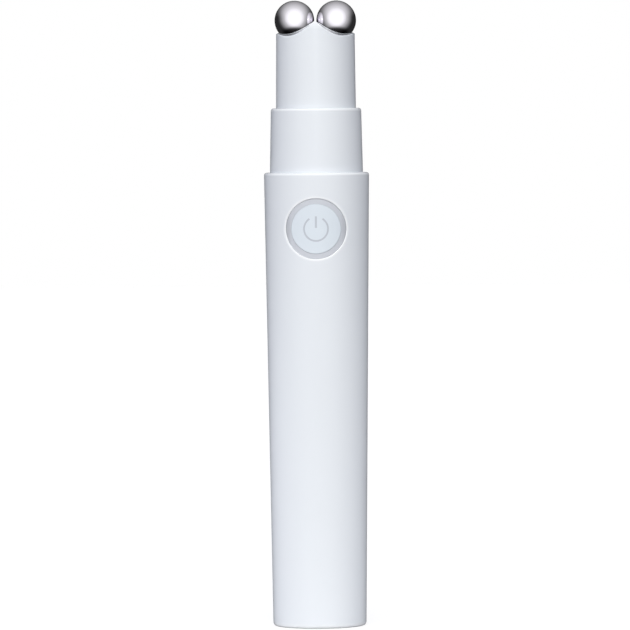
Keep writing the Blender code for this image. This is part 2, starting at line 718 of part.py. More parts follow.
def make_button():
    """The light ring, held behind the barrel's wall, and the button cap behind the ring's lip."""
    radius = barrel_radius(BUTTON_HEIGHT)
    centre = (0, 0, BUTTON_HEIGHT)
    bore = RING_RADIUS - RING_WIDTH
    lip_back = chord(radius - RING_RECESS, bore) - RING_LIP
    cap_radius = bore - SEAM_GAP
    cap_flange = cap_radius + CAP_FLANGE_WIDTH
    cap_hollow = cap_radius - CAP_RIM
    rear_bore = cap_flange + SEAM_GAP
    flange_radius = RING_RADIUS + RING_FLANGE_WIDTH
    flange_back = chord(radius - BARREL_WALL, flange_radius) - RING_FLANGE_THICKNESS
    back = ring_back()
    front = radius + OVERRUN
    tube = RING_RADIUS - RING_TUBE_STEP

    outline = [
        (0, back),
        (tube, back),
        (tube, flange_back),
        (RING_RADIUS, flange_back),
        (RING_RADIUS, front),
        (0, front),
    ]
    ring = add("light_ring", turned(outline, SHELL_STEPS), LIGHT_GUIDE, centre, FACING_FRONT)
    flange = add_tool(
        "ring_flange", rod(flange_radius, flange_back, front, SHELL_STEPS), centre, FACING_FRONT
    )
    combine(flange, "INTERSECT", inside_barrel("flange_trim", BARREL_WALL + SEAT_GAP))
    bore_outline = [
        (0, back - OVERRUN),
        (rear_bore, back - OVERRUN),
        (rear_bore, lip_back),
        (bore, lip_back),
        (bore, front + OVERRUN),
        (0, front + OVERRUN),
    ]
    hollow = add_tool("ring_bore", turned(bore_outline, SHELL_STEPS), centre, FACING_FRONT)
    combine(ring, "INTERSECT", inside_barrel("ring_trim", RING_RECESS))
    combine(ring, "UNION", flange)
    combine(ring, "DIFFERENCE", hollow)

    stem_end = PLUNGER_REACH + SWITCH_HEIGHT - SOLDER_FRONT + SEAT_GAP
    flange_front = lip_back - SEAT_GAP
    flange_rear = flange_front - CAP_FLANGE_THICKNESS
    outline = [
        (0, stem_end),
        (CAP_STEM_RADIUS, stem_end),
        (CAP_STEM_RADIUS, flange_rear + CAP_HOLLOW_DEPTH),
        (cap_hollow, flange_rear + CAP_HOLLOW_DEPTH),
        (cap_hollow, flange_rear),
        (cap_flange, flange_rear),
        (cap_flange, flange_front),
        (cap_radius, flange_front),
        (cap_radius, front),
        (0, front),
    ]
    cap = add("button_cap", turned(outline, SHELL_STEPS), BUTTON_WHITE, centre, FACING_FRONT)
    combine(cap, "INTERSECT", inside_barrel("cap_trim", CAP_RECESS))
    below_symbol = inside_barrel("symbol_floor", CAP_RECESS + SYMBOL_DEPTH)
    arc = add_tool("symbol_arc", symbol_arc(lip_back, front), centre, FACING_FRONT)
    bar = block_tool(
        "symbol_bar",
        (-SYMBOL_BAR_LINE / 2, -front, BUTTON_HEIGHT + SYMBOL_BAR_START),
        (SYMBOL_BAR_LINE / 2, -lip_back, BUTTON_HEIGHT + SYMBOL_BAR_START + SYMBOL_BAR_LENGTH),
    )
    combine(arc, "DIFFERENCE", below_symbol)
    combine(bar, "DIFFERENCE", below_symbol)
    combine(cap, "DIFFERENCE", arc, bar)


def symbol_arc(low, high):
    """The open circle of the power symbol, as a band between two depths."""
    inner = SYMBOL_RADIUS - SYMBOL_LINE / 2
    outer = SYMBOL_RADIUS + SYMBOL_LINE / 2
    start = math.radians(90) + SYMBOL_GAP
    bm = bmesh.new()
    corners = [(inner, low), (outer, low), (outer, high), (inner, high)]
    direction = Vector((math.cos(start), math.sin(start), 0))
    verts = [bm.verts.new(direction * radius + Vector((0, 0, depth))) for radius, depth in corners]
    face = bm.faces.new(verts)
    bmesh.ops.spin(
        bm, geom=[face, *face.edges, *verts], cent=(0, 0, 0), axis=(0, 0, 1),
        angle=math.radians(360) - SYMBOL_GAP * 2, steps=SYMBOL_STEPS,
    )
    bmesh.ops.recalc_face_normals(bm, faces=bm.faces)
    return bm


def make_switch():
    """The push switch on the board and its plunger, which the button's stem presses."""
    half = SWITCH_WIDTH / 2
    body = add_block(
        "switch_body",
        (-half, SOLDER_FRONT - SWITCH_HEIGHT, BUTTON_HEIGHT - half),
        (half, SOLDER_FRONT, BUTTON_HEIGHT + half),
        BLACK_PLASTIC,
    )
    face = SWITCH_HEIGHT - SOLDER_FRONT
    root = face - PLUNGER_ROOT
    centre = (0, 0, BUTTON_HEIGHT)
    well = add_tool(
        "plunger_well",
        rod(PLUNGER_RADIUS + SEAT_GAP, root - BUTTON_TRAVEL - SEAT_GAP, face + OVERRUN, DISC_STEPS),
        centre, FACING_FRONT,
    )
    combine(body, "DIFFERENCE", well)
    add(
        "switch_plunger", rod(PLUNGER_RADIUS, root, face + PLUNGER_REACH, DISC_STEPS),
        BLACK_PLASTIC, centre, FACING_FRONT,
    )


def board_half_width():
    """Half the board's width: it just clears the chassis walls at their narrow end."""
    channel = barrel_radius(CHASSIS_BOTTOM) - BARREL_WALL - SEAT_GAP - CHASSIS_WALL
    return chord(channel, BOARD_BACK) - SEAT_GAP


def make_board():
    """The circuit board, with a narrow tail that runs down into the end cap."""
    half = board_half_width()
    skirt = barrel_radius(0) - BARREL_WALL - SEAT_GAP - CAP_SKIRT_WALL
    tail_half = chord(skirt, BOARD_BACK) - SEAT_GAP
    tail_top = BOARD_BOTTOM + BOARD_TAIL_LENGTH
    outline = [
        (-tail_half, BOARD_BOTTOM),
        (tail_half, BOARD_BOTTOM),
        (tail_half, tail_top),
        (half, tail_top),
        (half, BOARD_TOP),
        (-half, BOARD_TOP),
        (-half, tail_top),
        (-tail_half, tail_top),
    ]
    bm = bmesh.new()
    face = bm.faces.new([bm.verts.new((x, BOARD_FRONT, z)) for x, z in outline])
    back = bmesh.ops.extrude_face_region(bm, geom=[face])
    moved = [element for element in back["geom"] if isinstance(element, bmesh.types.BMVert)]
    bmesh.ops.translate(bm, verts=moved, vec=(0, BOARD_THICKNESS, 0))
    bmesh.ops.recalc_face_normals(bm, faces=bm.faces)
    board = add("main_board", bm, GREEN_BOARD)
    for number, (x, z) in enumerate(board_screw_places(), 1):
        drill = rod(SCREW_HOLE_RADIUS, -OVERRUN, OVERRUN)
        hole = add_tool(f"board_hole_{number}", drill, (x, BOARD_FRONT, z), FACING_FRONT)
        combine(board, "DIFFERENCE", hole)
        add_screw(f"board_screw_{number}", (x, SOLDER_FRONT, z), FACING_FRONT, BOARD_SCREW_LENGTH)


def board_screw_places():
    """Across and up the board: one screw near each corner."""
    side = board_half_width() - BOARD_SCREW_INSET
    return [(x, board_height(share)) for share in BOARD_SCREW_HEIGHT_SHARES for x in (-side, side)]


def make_chassis():
    """The half channel behind the board, with a plate at each end and bosses for the screws."""
    def wall(height, offset):
        return barrel_radius(height) - BARREL_WALL - SEAT_GAP - offset

    top_low = CHASSIS_TOP - CHASSIS_TOP_PLATE
    bottom_top = CHASSIS_BOTTOM + CHASSIS_BOTTOM_PLATE
    outline = [
        (0, CHASSIS_BOTTOM),
        (wall(CHASSIS_BOTTOM, 0), CHASSIS_BOTTOM),
        (wall(CHASSIS_TOP, 0), CHASSIS_TOP),
        (NECK_WINDOW_RADIUS, CHASSIS_TOP),
        (NECK_WINDOW_RADIUS, top_low),
        (wall(top_low, CHASSIS_WALL), top_low),
        (wall(bottom_top, CHASSIS_WALL), bottom_top),
        (0, bottom_top),
    ]
    chassis = add("chassis", turned(outline, SHELL_STEPS), WHITE_INNER)
    reach = BARREL_TOP_RADIUS + OVERRUN
    front_half = block_tool(
        "chassis_front", (-reach, -reach, -OVERRUN), (reach, CHASSIS_FRONT, BARREL_LENGTH + OVERRUN)
    )
    pocket_side = board_half_width() + SEAT_GAP * 2
    pocket = block_tool(
        "board_pocket", (-pocket_side, -reach, -OVERRUN), (pocket_side, SOLDER_BACK, BOARD_TOP + SEAT_GAP * 2)
    )
    ring_room = add_tool(
        "ring_room", rod(RING_RADIUS + SEAT_GAP, ring_back() - SEAT_GAP, reach, TUBE_STEPS),
        (0, 0, BUTTON_HEIGHT), FACING_FRONT,
    )
    combine(chassis, "DIFFERENCE", front_half, pocket, ring_room)

    overlap = CHASSIS_WALL / 2
    neck_sides = (("left", -NECK_SCREW_SIDE), ("right", NECK_SCREW_SIDE))
    for number, (x, z) in enumerate(board_screw_places(), 1):
        depth = chord(wall(z, overlap), abs(x) + SCREW_BOSS_RADIUS)
        boss = add_tool(
            f"board_boss_{number}", rod(SCREW_BOSS_RADIUS, SOLDER_BACK, depth), (x, 0, z), FACING_BACK
        )
        combine(chassis, "UNION", boss)
    for side, place in neck_sides:
        bar = rod(SCREW_BOSS_RADIUS, CHASSIS_TOP - NECK_BOSS_LENGTH, CHASSIS_TOP - overlap)
        boss = add_tool(f"neck_boss_{side}", bar, (place, NECK_SCREW_BACK, 0))
        combine(chassis, "UNION", boss)

    for number, (x, z) in enumerate(board_screw_places(), 1):
        hole_end = SOLDER_FRONT + BOARD_SCREW_LENGTH + SEAT_GAP
        hole = add_tool(f"boss_hole_{number}", rod(SCREW_HOLE_RADIUS, 0, hole_end), (x, 0, z), FACING_BACK)
        combine(chassis, "DIFFERENCE", hole)
    for side, place in neck_sides:
        hole_end = NECK_BOTTOM + NECK_FLOOR - NECK_SCREW_LENGTH
        hole = add_tool(
            f"neck_boss_hole_{side}", rod(SCREW_HOLE_RADIUS, hole_end, CHASSIS_TOP + OVERRUN),
            (place, NECK_SCREW_BACK, 0),
        )
        combine(chassis, "DIFFERENCE", hole)


def make_lights():
    """Four small lights on the board, behind the light ring's tube."""
    middle = RING_RADIUS - RING_WIDTH / 2
    for number, angle in enumerate(LED_ANGLES, 1):
        x = middle * math.cos(math.radians(angle))
        z = BUTTON_HEIGHT + middle * math.sin(math.radians(angle))
        half = LED_SIZE / 2
        add_block(
            f"led_{number}",
            (x - half, SOLDER_FRONT - LED_HEIGHT, z - half),
            (x + half, SOLDER_FRONT, z + half),
            LED_YELLOW,
        )


def make_battery():
    """The pouch cell on its foam pad, with two leads down to a plug on the board."""
    plug_low = BOARD_BOTTOM + BOARD_TAIL_LENGTH + PLUG_ABOVE_TAIL
    plug_top = plug_low + PLUG_HEIGHT
    low = plug_top + LEAD_LENGTH
    top = BUTTON_HEIGHT - RING_RADIUS - BATTERY_HEADROOM
    pad_front = SOLDER_FRONT - PAD_THICKNESS
    cell_back = pad_front - SEAT_GAP
    room = barrel_radius(low) - BARREL_WALL
    cell_front = BATTERY_FRONT_ROOM - room
    side = chord(room, cell_front) - BATTERY_SIDE_ROOM
    cell = add_block("battery_cell", (-side, cell_front, low), (side, cell_back, top), SILVER_FOIL)
    soften(cell, BATTERY_ROUNDING, 2)
    add_block(
        "battery_pad",
        (PAD_INSET - side, pad_front, low + PAD_INSET),
        (side - PAD_INSET, SOLDER_FRONT, top - PAD_INSET),
        FOAM_GREY,
    )
    plug_front = SOLDER_FRONT - PLUG_DEPTH
    add_block(
        "battery_plug",
        (-PLUG_WIDTH / 2, plug_front, plug_low),
        (PLUG_WIDTH / 2, SOLDER_FRONT, plug_top),
        WHITE_INNER,
        CHIP_EDGE,
    )
    start = low - SEAT_GAP
    end = plug_top + SEAT_GAP
    straight = (start - end) * LEAD_STRAIGHT_SHARE
    cell_middle = (cell_front + cell_back) / 2
    plug_middle = (plug_front + SOLDER_FRONT) / 2
    for name, sign, finish in (("positive", 1, RED_WIRE), ("negative", -1, BLACK_WIRE)):
        side = sign * LEAD_SPACING / 2
        route = [
            (side, cell_middle, start),
            (side, cell_middle, start - straight),
            (side, plug_middle, end + straight),
            (side, plug_middle, end),
        ]
        add_wire(f"battery_lead_{name}", route, LEAD_RADIUS, finish)


def add_chip(name, size, share, finish):
    """A square component soldered to the back of the board."""
    width, height, length = size
    z = board_height(share)
    return add_block(
        name,
        (-width / 2, SOLDER_BACK, z - length / 2),
        (width / 2, SOLDER_BACK + height, z + length / 2),
        finish,
        CHIP_EDGE,
    )


def make_back_components():
    """What is soldered to the back of the board, from the charger up to the microcontroller."""
    add_chip("charge_controller", CHARGER_SIZE, CHARGER_HEIGHT_SHARE, BLACK_PLASTIC)
    add_chip("boost_inductor", INDUCTOR_SIZE, INDUCTOR_HEIGHT_SHARE, FOAM_GREY)
    add_chip("pulse_transformer", TRANSFORMER_SIZE, TRANSFORMER_HEIGHT_SHARE, COPPER_BROWN)
    add_chip("microcontroller", CONTROLLER_SIZE, CONTROLLER_HEIGHT_SHARE, BLACK_PLASTIC)
    buzzer_outline = [
        (0, 0),
        (BUZZER_RADIUS, 0),
        (BUZZER_RADIUS, BUZZER_HEIGHT),
        (BUZZER_HOLE_RADIUS, BUZZER_HEIGHT),
        (BUZZER_HOLE_RADIUS, BUZZER_HEIGHT - BUZZER_HOLE_DEPTH),
        (0, BUZZER_HEIGHT - BUZZER_HOLE_DEPTH),
    ]
    add(
        "buzzer", turned(buzzer_outline, DISC_STEPS), BLACK_PLASTIC,
        (0, SOLDER_BACK, board_height(BUZZER_HEIGHT_SHARE)), FACING_BACK,
    )
    add(
        "output_capacitor", rod(CAPACITOR_RADIUS, 0, CAPACITOR_HEIGHT, DISC_STEPS), SILVER_FOIL,
        (0, SOLDER_BACK, board_height(CAPACITOR_HEIGHT_SHARE)), FACING_BACK,
    )


def make_charging_socket():
    """The charging socket: a flat metal shell with a contact tongue, open at the base."""
    half_width = SOCKET_WIDTH / 2
    half_height = SOCKET_HEIGHT / 2
    top = SOCKET_SETBACK + SOCKET_LENGTH
    shell = add_block(
        "socket_shell",
        (-half_width, -half_height, SOCKET_SETBACK),
        (half_width, half_height, top),
        STEEL,
    )
    soften(shell, SOCKET_CORNER, 2)
    cavity_top = top - SOCKET_WALL * 2
    cavity = block_tool(
        "socket_cavity",
        (-half_width + SOCKET_WALL, -half_height + SOCKET_WALL, SOCKET_SETBACK - OVERRUN),
        (half_width - SOCKET_WALL, half_height - SOCKET_WALL, cavity_top),
    )
    combine(shell, "DIFFERENCE", cavity)

    root_half_width = half_width - SOCKET_WALL - SEAT_GAP
    root_half_height = half_height - SOCKET_WALL - SEAT_GAP
    root_top = cavity_top - SEAT_GAP
    root_low = root_top - TONGUE_ROOT_LENGTH
    root = add_block(
        "socket_tongue",
        (-root_half_width, -root_half_height, root_low),
        (root_half_width, root_half_height, root_top),
        BLACK_PLASTIC,
    )
    tongue = block_tool(
        "tongue_blade",
        (-TONGUE_WIDTH / 2, -TONGUE_THICKNESS / 2, root_low - TONGUE_LENGTH),
        (TONGUE_WIDTH / 2, TONGUE_THICKNESS / 2, root_low + TONGUE_ROOT_LENGTH / 2),
    )
    combine(root, "UNION", tongue)


for leftover in list(bpy.data.objects):
    bpy.data.objects.remove(leftover)

make_barrel()
make_end_cap()
make_charging_socket()
make_collar()
make_head()
make_electrode_seat()
make_electrodes()
make_neck_frame()
make_button()
make_switch()
make_board()
make_chassis()
make_lights()
make_battery()
make_back_components()
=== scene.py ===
"""Microcurrent face massager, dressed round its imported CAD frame.

Metres, +Z up the wand from its flat end, with the button facing -Y.
"""

import math

import bmesh
import bpy
from mathutils import Matrix, Vector
from mathutils.bvhtree import BVHTree
from mathutils.interpolate import poly_3d_calc


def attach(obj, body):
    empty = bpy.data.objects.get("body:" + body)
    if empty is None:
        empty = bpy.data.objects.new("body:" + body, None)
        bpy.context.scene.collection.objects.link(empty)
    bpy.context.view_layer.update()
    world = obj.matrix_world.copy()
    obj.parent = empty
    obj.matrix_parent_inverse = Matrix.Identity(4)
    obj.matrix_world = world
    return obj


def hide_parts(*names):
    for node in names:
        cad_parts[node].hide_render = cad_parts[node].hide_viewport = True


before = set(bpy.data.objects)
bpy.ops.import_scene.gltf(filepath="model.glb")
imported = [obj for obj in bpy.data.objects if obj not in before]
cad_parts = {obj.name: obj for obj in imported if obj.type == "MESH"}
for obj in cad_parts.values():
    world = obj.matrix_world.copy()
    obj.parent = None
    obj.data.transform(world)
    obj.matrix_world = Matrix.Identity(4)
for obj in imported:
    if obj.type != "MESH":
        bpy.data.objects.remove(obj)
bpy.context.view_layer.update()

# Camera. The picture was taken with a long lens, nearly from the front and from a little above the
# wand's middle, and the wand leans slightly to the left in it.
IMAGE_WIDTH = 0.1501
SENSOR = 36
LEAN = math.radians(0.45)
DISTANCE = 1.32
ASIDE = math.radians(1.07)
EYE_HEIGHT = 0.1165
AIM = Vector((-0.00062, 0, 0.07404))
camera = bpy.data.objects.new("camera", bpy.data.cameras.new("camera"))
bpy.context.scene.collection.objects.link(camera)
bpy.context.scene.camera = camera
camera.location = (AIM.x + DISTANCE * math.sin(ASIDE), -DISTANCE * math.cos(ASIDE), EYE_HEIGHT)
sight = AIM - camera.location
camera.rotation_euler = (sight.to_track_quat("-Z", "Y").to_matrix() @ Matrix.Rotation(-LEAN, 3, "Z")).to_euler()
camera.data.sensor_width = SENSOR
camera.data.lens = SENSOR * sight.length / IMAGE_WIDTH
camera.data.clip_start = 0.01


# Chassis. A half channel of unpolished natural ABS, moulded in one shot, that carries the board
# and stands on the end cap. Flow during moulding leaves it slightly cloudy.
def finish(name, colour, roughness, metallic=0.0, cloud=0.04, cloud_size=0.004, grain=0.15, grain_size=0.00025, coat=0.0):
    """A finish whose colour, gloss and surface change a little from place to place."""
    material = bpy.data.materials.new(name)
    material.use_nodes = True
    nodes, links = material.node_tree.nodes, material.node_tree.links
    shader = nodes["Principled BSDF"]
    shader.inputs["Metallic"].default_value = metallic
    shader.inputs["Coat Weight"].default_value = coat
    shader.inputs["Coat Roughness"].default_value = 0.08
    place = nodes.new("ShaderNodeTexCoord")
    clouds = nodes.new("ShaderNodeTexNoise")
    clouds.inputs["Scale"].default_value = 1 / cloud_size
    clouds.inputs["Detail"].default_value = 3
    links.new(place.outputs["Object"], clouds.inputs["Vector"])
    shades = nodes.new("ShaderNodeMix")
    shades.data_type = "RGBA"
    shades.inputs["A"].default_value = (*(c * (1 - cloud) for c in colour), 1)
    shades.inputs["B"].default_value = (*(min(1, c * (1 + cloud)) for c in colour), 1)
    links.new(clouds.outputs["Fac"], shades.inputs["Factor"])
    links.new(shades.outputs["Result"], shader.inputs["Base Color"])
    grains = nodes.new("ShaderNodeTexNoise")
    grains.inputs["Scale"].default_value = 1 / grain_size
    grains.inputs["Detail"].default_value = 2
    links.new(place.outputs["Object"], grains.inputs["Vector"])
    polish = nodes.new("ShaderNodeMapRange")
    polish.inputs["To Min"].default_value = roughness * 0.85
    polish.inputs["To Max"].default_value = roughness * 1.15
    links.new(grains.outputs["Fac"], polish.inputs["Value"])
    links.new(polish.outputs["Result"], shader.inputs["Roughness"])
    bump = nodes.new("ShaderNodeBump")
    bump.inputs["Strength"].default_value = grain
    bump.inputs["Distance"].default_value = grain_size / 10
    links.new(grains.outputs["Fac"], bump.inputs["Height"])
    links.new(bump.outputs["Normal"], shader.inputs["Normal"])
    return material


def dress(material, *names):
    """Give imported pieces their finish."""
    for name in names:
        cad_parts[name].material_slots[0].material = material


natural_plastic = finish("natural_moulding", (0.70, 0.71, 0.72), 0.45)
dress(natural_plastic, "chassis")

# Main board. Glass laminate under a green solder mask, in which copper tracks show as paler
# lines. Four screws hold it to the bosses of the chassis.
board_finish = finish("solder_mask", (0.02, 0.12, 0.05), 0.35, cloud=0.2, cloud_size=0.001, coat=0.3)
nodes, links = board_finish.node_tree.nodes, board_finish.node_tree.links
tracks = nodes.new("ShaderNodeTexBrick")
tracks.inputs["Scale"].default_value = 400
tracks.inputs["Mortar Size"].default_value = 0.06
tracks.inputs["Color1"].default_value = (0.02, 0.12, 0.05, 1)
tracks.inputs["Color2"].default_value = (0.024, 0.135, 0.055, 1)
tracks.inputs["Mortar"].default_value = (0.05, 0.24, 0.09, 1)
turned_tracks = nodes.new("ShaderNodeMapping")
turned_tracks.inputs["Rotation"].default_value = (math.radians(90), 0, 0)
where = nodes.new("ShaderNodeTexCoord")
links.new(where.outputs["Object"], turned_tracks.inputs["Vector"])
links.new(turned_tracks.outputs["Vector"], tracks.inputs["Vector"])
links.new(tracks.outputs["Color"], nodes["Principled BSDF"].inputs["Base Color"])
dress(board_finish, "main_board")

# Screws. Small pan head screws of zinc plated steel, the same everywhere in three lengths.
zinc = finish("zinc_plate", (0.60, 0.60, 0.62), 0.3, metallic=1.0, cloud=0.08, cloud_size=0.001, grain=0.1)
dress(
    zinc, "board_screw_1", "board_screw_2", "board_screw_3", "board_screw_4",
    "neck_screw_left", "neck_screw_right", "ball_screw_left", "ball_screw_right",
)

# Parts soldered to the board. Chips, buzzer and push switch are moulded in black resin with a
# fine eroded texture, the inductor is sintered ferrite, and the capacitor is a drawn can.
black_resin = finish("black_resin", (0.02, 0.02, 0.022), 0.4, cloud=0.15, grain=0.4, grain_size=0.0001)
dress(black_resin, "charge_controller", "microcontroller", "buzzer", "switch_body", "switch_plunger")
ferrite = finish("ferrite", (0.10, 0.10, 0.11), 0.7, cloud=0.15, cloud_size=0.0008, grain=0.5, grain_size=0.0001)
dress(ferrite, "boost_inductor")
drawn_can = finish("drawn_can", (0.62, 0.63, 0.65), 0.25, metallic=1.0, cloud=0.05, cloud_size=0.001)
dress(drawn_can, "output_capacitor")
winding = finish("varnished_winding", (0.35, 0.13, 0.05), 0.35, metallic=0.6, cloud=0.25, cloud_size=0.0004, coat=0.4)
dress(winding, "pulse_transformer")

# Lights. Four chips of clear resin with a little yellow phosphor, behind the light ring.
phosphor = finish("phosphor_resin", (0.75, 0.72, 0.50), 0.3, cloud=0.1, cloud_size=0.0006, coat=0.3)
dress(phosphor, "led_1", "led_2", "led_3", "led_4")

# Battery. A pouch cell in laminated foil, stuck to the board with a foam pad, with a red and a
# black lead down to a white plug.
foil = finish("pouch_foil", (0.62, 0.63, 0.65), 0.35, metallic=0.8, cloud=0.08, cloud_size=0.006, grain=0.6, grain_size=0.0012)
dress(foil, "battery_cell")
foam = finish("closed_cell_foam", (0.10, 0.10, 0.11), 0.9, cloud=0.3, cloud_size=0.0003, grain=0.9, grain_size=0.0003)
dress(foam, "battery_pad")
dress(natural_plastic, "battery_plug")
dress(finish("red_insulation", (0.50, 0.02, 0.02), 0.45, cloud=0.08), "battery_lead_positive")
dress(finish("black_insulation", (0.015, 0.015, 0.015), 0.45, cloud=0.2), "battery_lead_negative")


# End cap. A flush disc of the same white plastic as the barrel, snapped in from below by a bead
# round its skirt. A slot in its middle takes the charging socket.
WHITE = (0.80, 0.83, 0.87)
CAP_RADIUS = 0.00944
CAP_FLOOR = 0.0016
CAP_SKIRT_TOP = 0.0065
CAP_BORE = 0.0077
SEAL_GROOVE_RADIUS = 0.0085
SEAL_GROOVE_LOW = 0.0022
SEAL_GROOVE_TOP = 0.0033
SLOT_HALF_WIDTH = 0.00385
SLOT_HALF_DEPTH = 0.00135
SLOT_CORNER = 0.0007


def white_gloss(name):
    """Cool white glossy plastic: very even in colour, with the faint ripple of a polished mould."""
    return finish(name, WHITE, 0.2, cloud=0.006, cloud_size=0.02, grain=0.04, grain_size=0.0006, coat=0.15)


def paint_edge_highlight(material, value, low, high, stops):
    """Paints a highlight into a white finish along a rounded edge: value runs from low to high across the edge."""
    nodes, links = material.node_tree.nodes, material.node_tree.links
    base = nodes["Principled BSDF"].inputs["Base Color"]
    across = nodes.new("ShaderNodeMapRange")
    across.inputs["From Min"].default_value = low
    across.inputs["From Max"].default_value = high
    links.new(value, across.inputs["Value"])
    share = nodes.new("ShaderNodeValToRGB")
    links.new(across.outputs["Result"], share.inputs["Fac"])
    share.color_ramp.elements[0].color = (stops[0], stops[0], stops[0], 1)
    share.color_ramp.elements[-1].color = (0, 0, 0, 1)
    for place, amount in stops[1:]:
        share.color_ramp.elements.new(place).color = (amount, amount, amount, 1)
    mix = nodes.new("ShaderNodeMix")
    mix.data_type = "RGBA"
    # Colour of the painted highlight.
    mix.inputs["B"].default_value = (0.96, 0.975, 1, 1)
    links.new(share.outputs["Color"], mix.inputs["Factor"])
    links.new(base.links[0].from_socket, mix.inputs["A"])
    links.new(mix.outputs["Result"], base)


def paint_top_edge_highlight(material, top):
    """Paints a highlight on the rounded upper edge of a sleeve."""
    nodes, links = material.node_tree.nodes, material.node_tree.links
    height = nodes.new("ShaderNodeSeparateXYZ")
    links.new(nodes["Texture Coordinate"].outputs["Object"], height.inputs["Vector"])
    paint_edge_highlight(material, height.outputs["Z"], top - 0.001, top, (0, (0.2, 0), (0.5, 0.65), (0.88, 0.65), (0.9, 0)))
    return material


def eased(corners, closed=True, points=6, hold=1.2):
    """An outline from (radius, height, easing) corners, with each eased corner rounded off."""
    outline = []
    count = len(corners)
    for i, (radius, height, easing) in enumerate(corners):
        corner = Vector((radius, height))
        if easing == 0 or not closed and i in (0, count - 1):
            outline.append(corner)
            continue
        before = (Vector(corners[i - 1][:2]) - corner).normalized() * easing
        after = (Vector(corners[(i + 1) % count][:2]) - corner).normalized() * easing
        outline.append(corner + before * hold)
        for step in range(points + 1):
            t = step / points
            outline.append(corner + before * (1 - t) ** 2 + after * t ** 2)
        outline.append(corner + after * hold)
    return outline


def turned(outline, steps=256, angle=360):
    """A solid turned about Z from (radius, height) points. It closes on the axis or on itself."""
    bm = bmesh.new()
    verts = [bm.verts.new((radius, 0, height)) for radius, height in outline]
    edges = [bm.edges.new(pair) for pair in zip(verts, verts[1:])]
    if outline[0][0] > 0:
        edges.append(bm.edges.new((verts[-1], verts[0])))
    bmesh.ops.spin(
        bm, geom=verts + edges, cent=(0, 0, 0), axis=(0, 0, 1),
        angle=math.radians(angle), steps=steps, use_merge=True,
    )
    bmesh.ops.remove_doubles(bm, verts=bm.verts, dist=1e-7)
    bmesh.ops.recalc_face_normals(bm, faces=bm.faces)
    return bm


def add(name, bm, sharp=30):
    """A piece from a finished bmesh, smooth except at its sharp edges."""
    mesh = bpy.data.meshes.new(name)
    bm.to_mesh(mesh)
    bm.free()
    mesh.shade_smooth()
    mesh.set_sharp_from_angle(angle=math.radians(sharp))
    piece = bpy.data.objects.new(name, mesh)
    bpy.context.scene.collection.objects.link(piece)
    return piece


def fit(piece, material, slot, body, *nodes):
    """Finish a piece, let it ride on its body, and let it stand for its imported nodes."""
    piece.data.materials.clear()
    piece.data.materials.append(material)
    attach(piece, body)
    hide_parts(*nodes)


def cut(piece, operation, *tools):
    """Cut, join or trim a piece, with the even shading that its surfaces had before the cut."""
    sources = [piece.data, *(tool.data for tool in tools)]
    trees = []
    for source in sources:
        places = [vert.co.copy() for vert in source.vertices]
        trees.append(BVHTree.FromPolygons(places, [tuple(face.vertices) for face in source.polygons]))
    for tool in tools:
        step = piece.modifiers.new("step", "BOOLEAN")
        step.operation = operation
        step.object = tool
        step.solver = "EXACT"
    ready = piece.evaluated_get(bpy.context.evaluated_depsgraph_get())
    mesh = bpy.data.meshes.new_from_object(ready)
    piece.modifiers.clear()
    normals = [Vector()] * len(mesh.loops)
    for face in mesh.polygons:
        found = []
        for source, tree in zip(sources, trees):
            _, _, index, distance = tree.find_nearest(face.center)
            found.append((distance, index, source))
        _, index, source = min(found, key=lambda item: item[0])
        old = source.polygons[index]
        corners = [source.vertices[v].co for v in old.vertices]
        olds = [source.corner_normals[c].vector for c in old.loop_indices]
        sign = 1 if old.normal.dot(face.normal) > 0 else -1
        for corner in face.loop_indices:
            place = mesh.vertices[mesh.loops[corner].vertex_index].co
            weights = poly_3d_calc(corners, place)
            blend = sum((n * w for n, w in zip(olds, weights)), Vector())
            normals[corner] = (blend * sign).normalized()
    mesh.shade_smooth()
    mesh.normals_split_custom_set(normals)
    piece.data = mesh
    for tool in tools:
        bpy.data.objects.remove(tool)


def eased_block(low, high, corner, segments=5, axis=2):
    """A box with its edges along one axis rounded off."""
    bm = bmesh.new()
    bmesh.ops.create_cube(bm, size=1)
    bmesh.ops.scale(bm, verts=bm.verts, vec=Vector(high) - Vector(low))
    bmesh.ops.translate(bm, verts=bm.verts, vec=(Vector(high) + Vector(low)) / 2)
    along = [
        edge for edge in bm.edges
        if abs((edge.verts[0].co - edge.verts[1].co).normalized()[axis]) > 0.9
    ]
    bmesh.ops.bevel(
        bm, geom=along, offset=corner, offset_type="OFFSET", affect="EDGES",
        segments=segments, profile=0.5, material=-1,
    )
    return bm


end_cap = add("end_cap_disc", turned(eased([
    (0, 0, 0),
    (CAP_RADIUS, 0, 0.00015),
    (CAP_RADIUS, SEAL_GROOVE_LOW, 0),
    (SEAL_GROOVE_RADIUS, SEAL_GROOVE_LOW, 0),
    (SEAL_GROOVE_RADIUS, SEAL_GROOVE_TOP, 0),
    (CAP_RADIUS, SEAL_GROOVE_TOP, 0),
    (CAP_RADIUS, 0.0045, 0),
    (CAP_RADIUS + 0.00025, 0.00495, 0.0001),
    (CAP_RADIUS, 0.0054, 0),
    (CAP_RADIUS, CAP_SKIRT_TOP, 0.0002),
    (CAP_BORE, CAP_SKIRT_TOP, 0.0002),
    (CAP_BORE, CAP_FLOOR, 0.0003),
    (0, CAP_FLOOR, 0),
], closed=False), 192))
slot_tool = add("slot_tool", eased_block(
    (-SLOT_HALF_WIDTH, -SLOT_HALF_DEPTH, -CAP_FLOOR), (SLOT_HALF_WIDTH, SLOT_HALF_DEPTH, CAP_FLOOR * 2), SLOT_CORNER
))
cut(end_cap, "DIFFERENCE", slot_tool)
fit(end_cap, white_gloss("end_cap_white"), "white_shell", "wand", "end_cap")

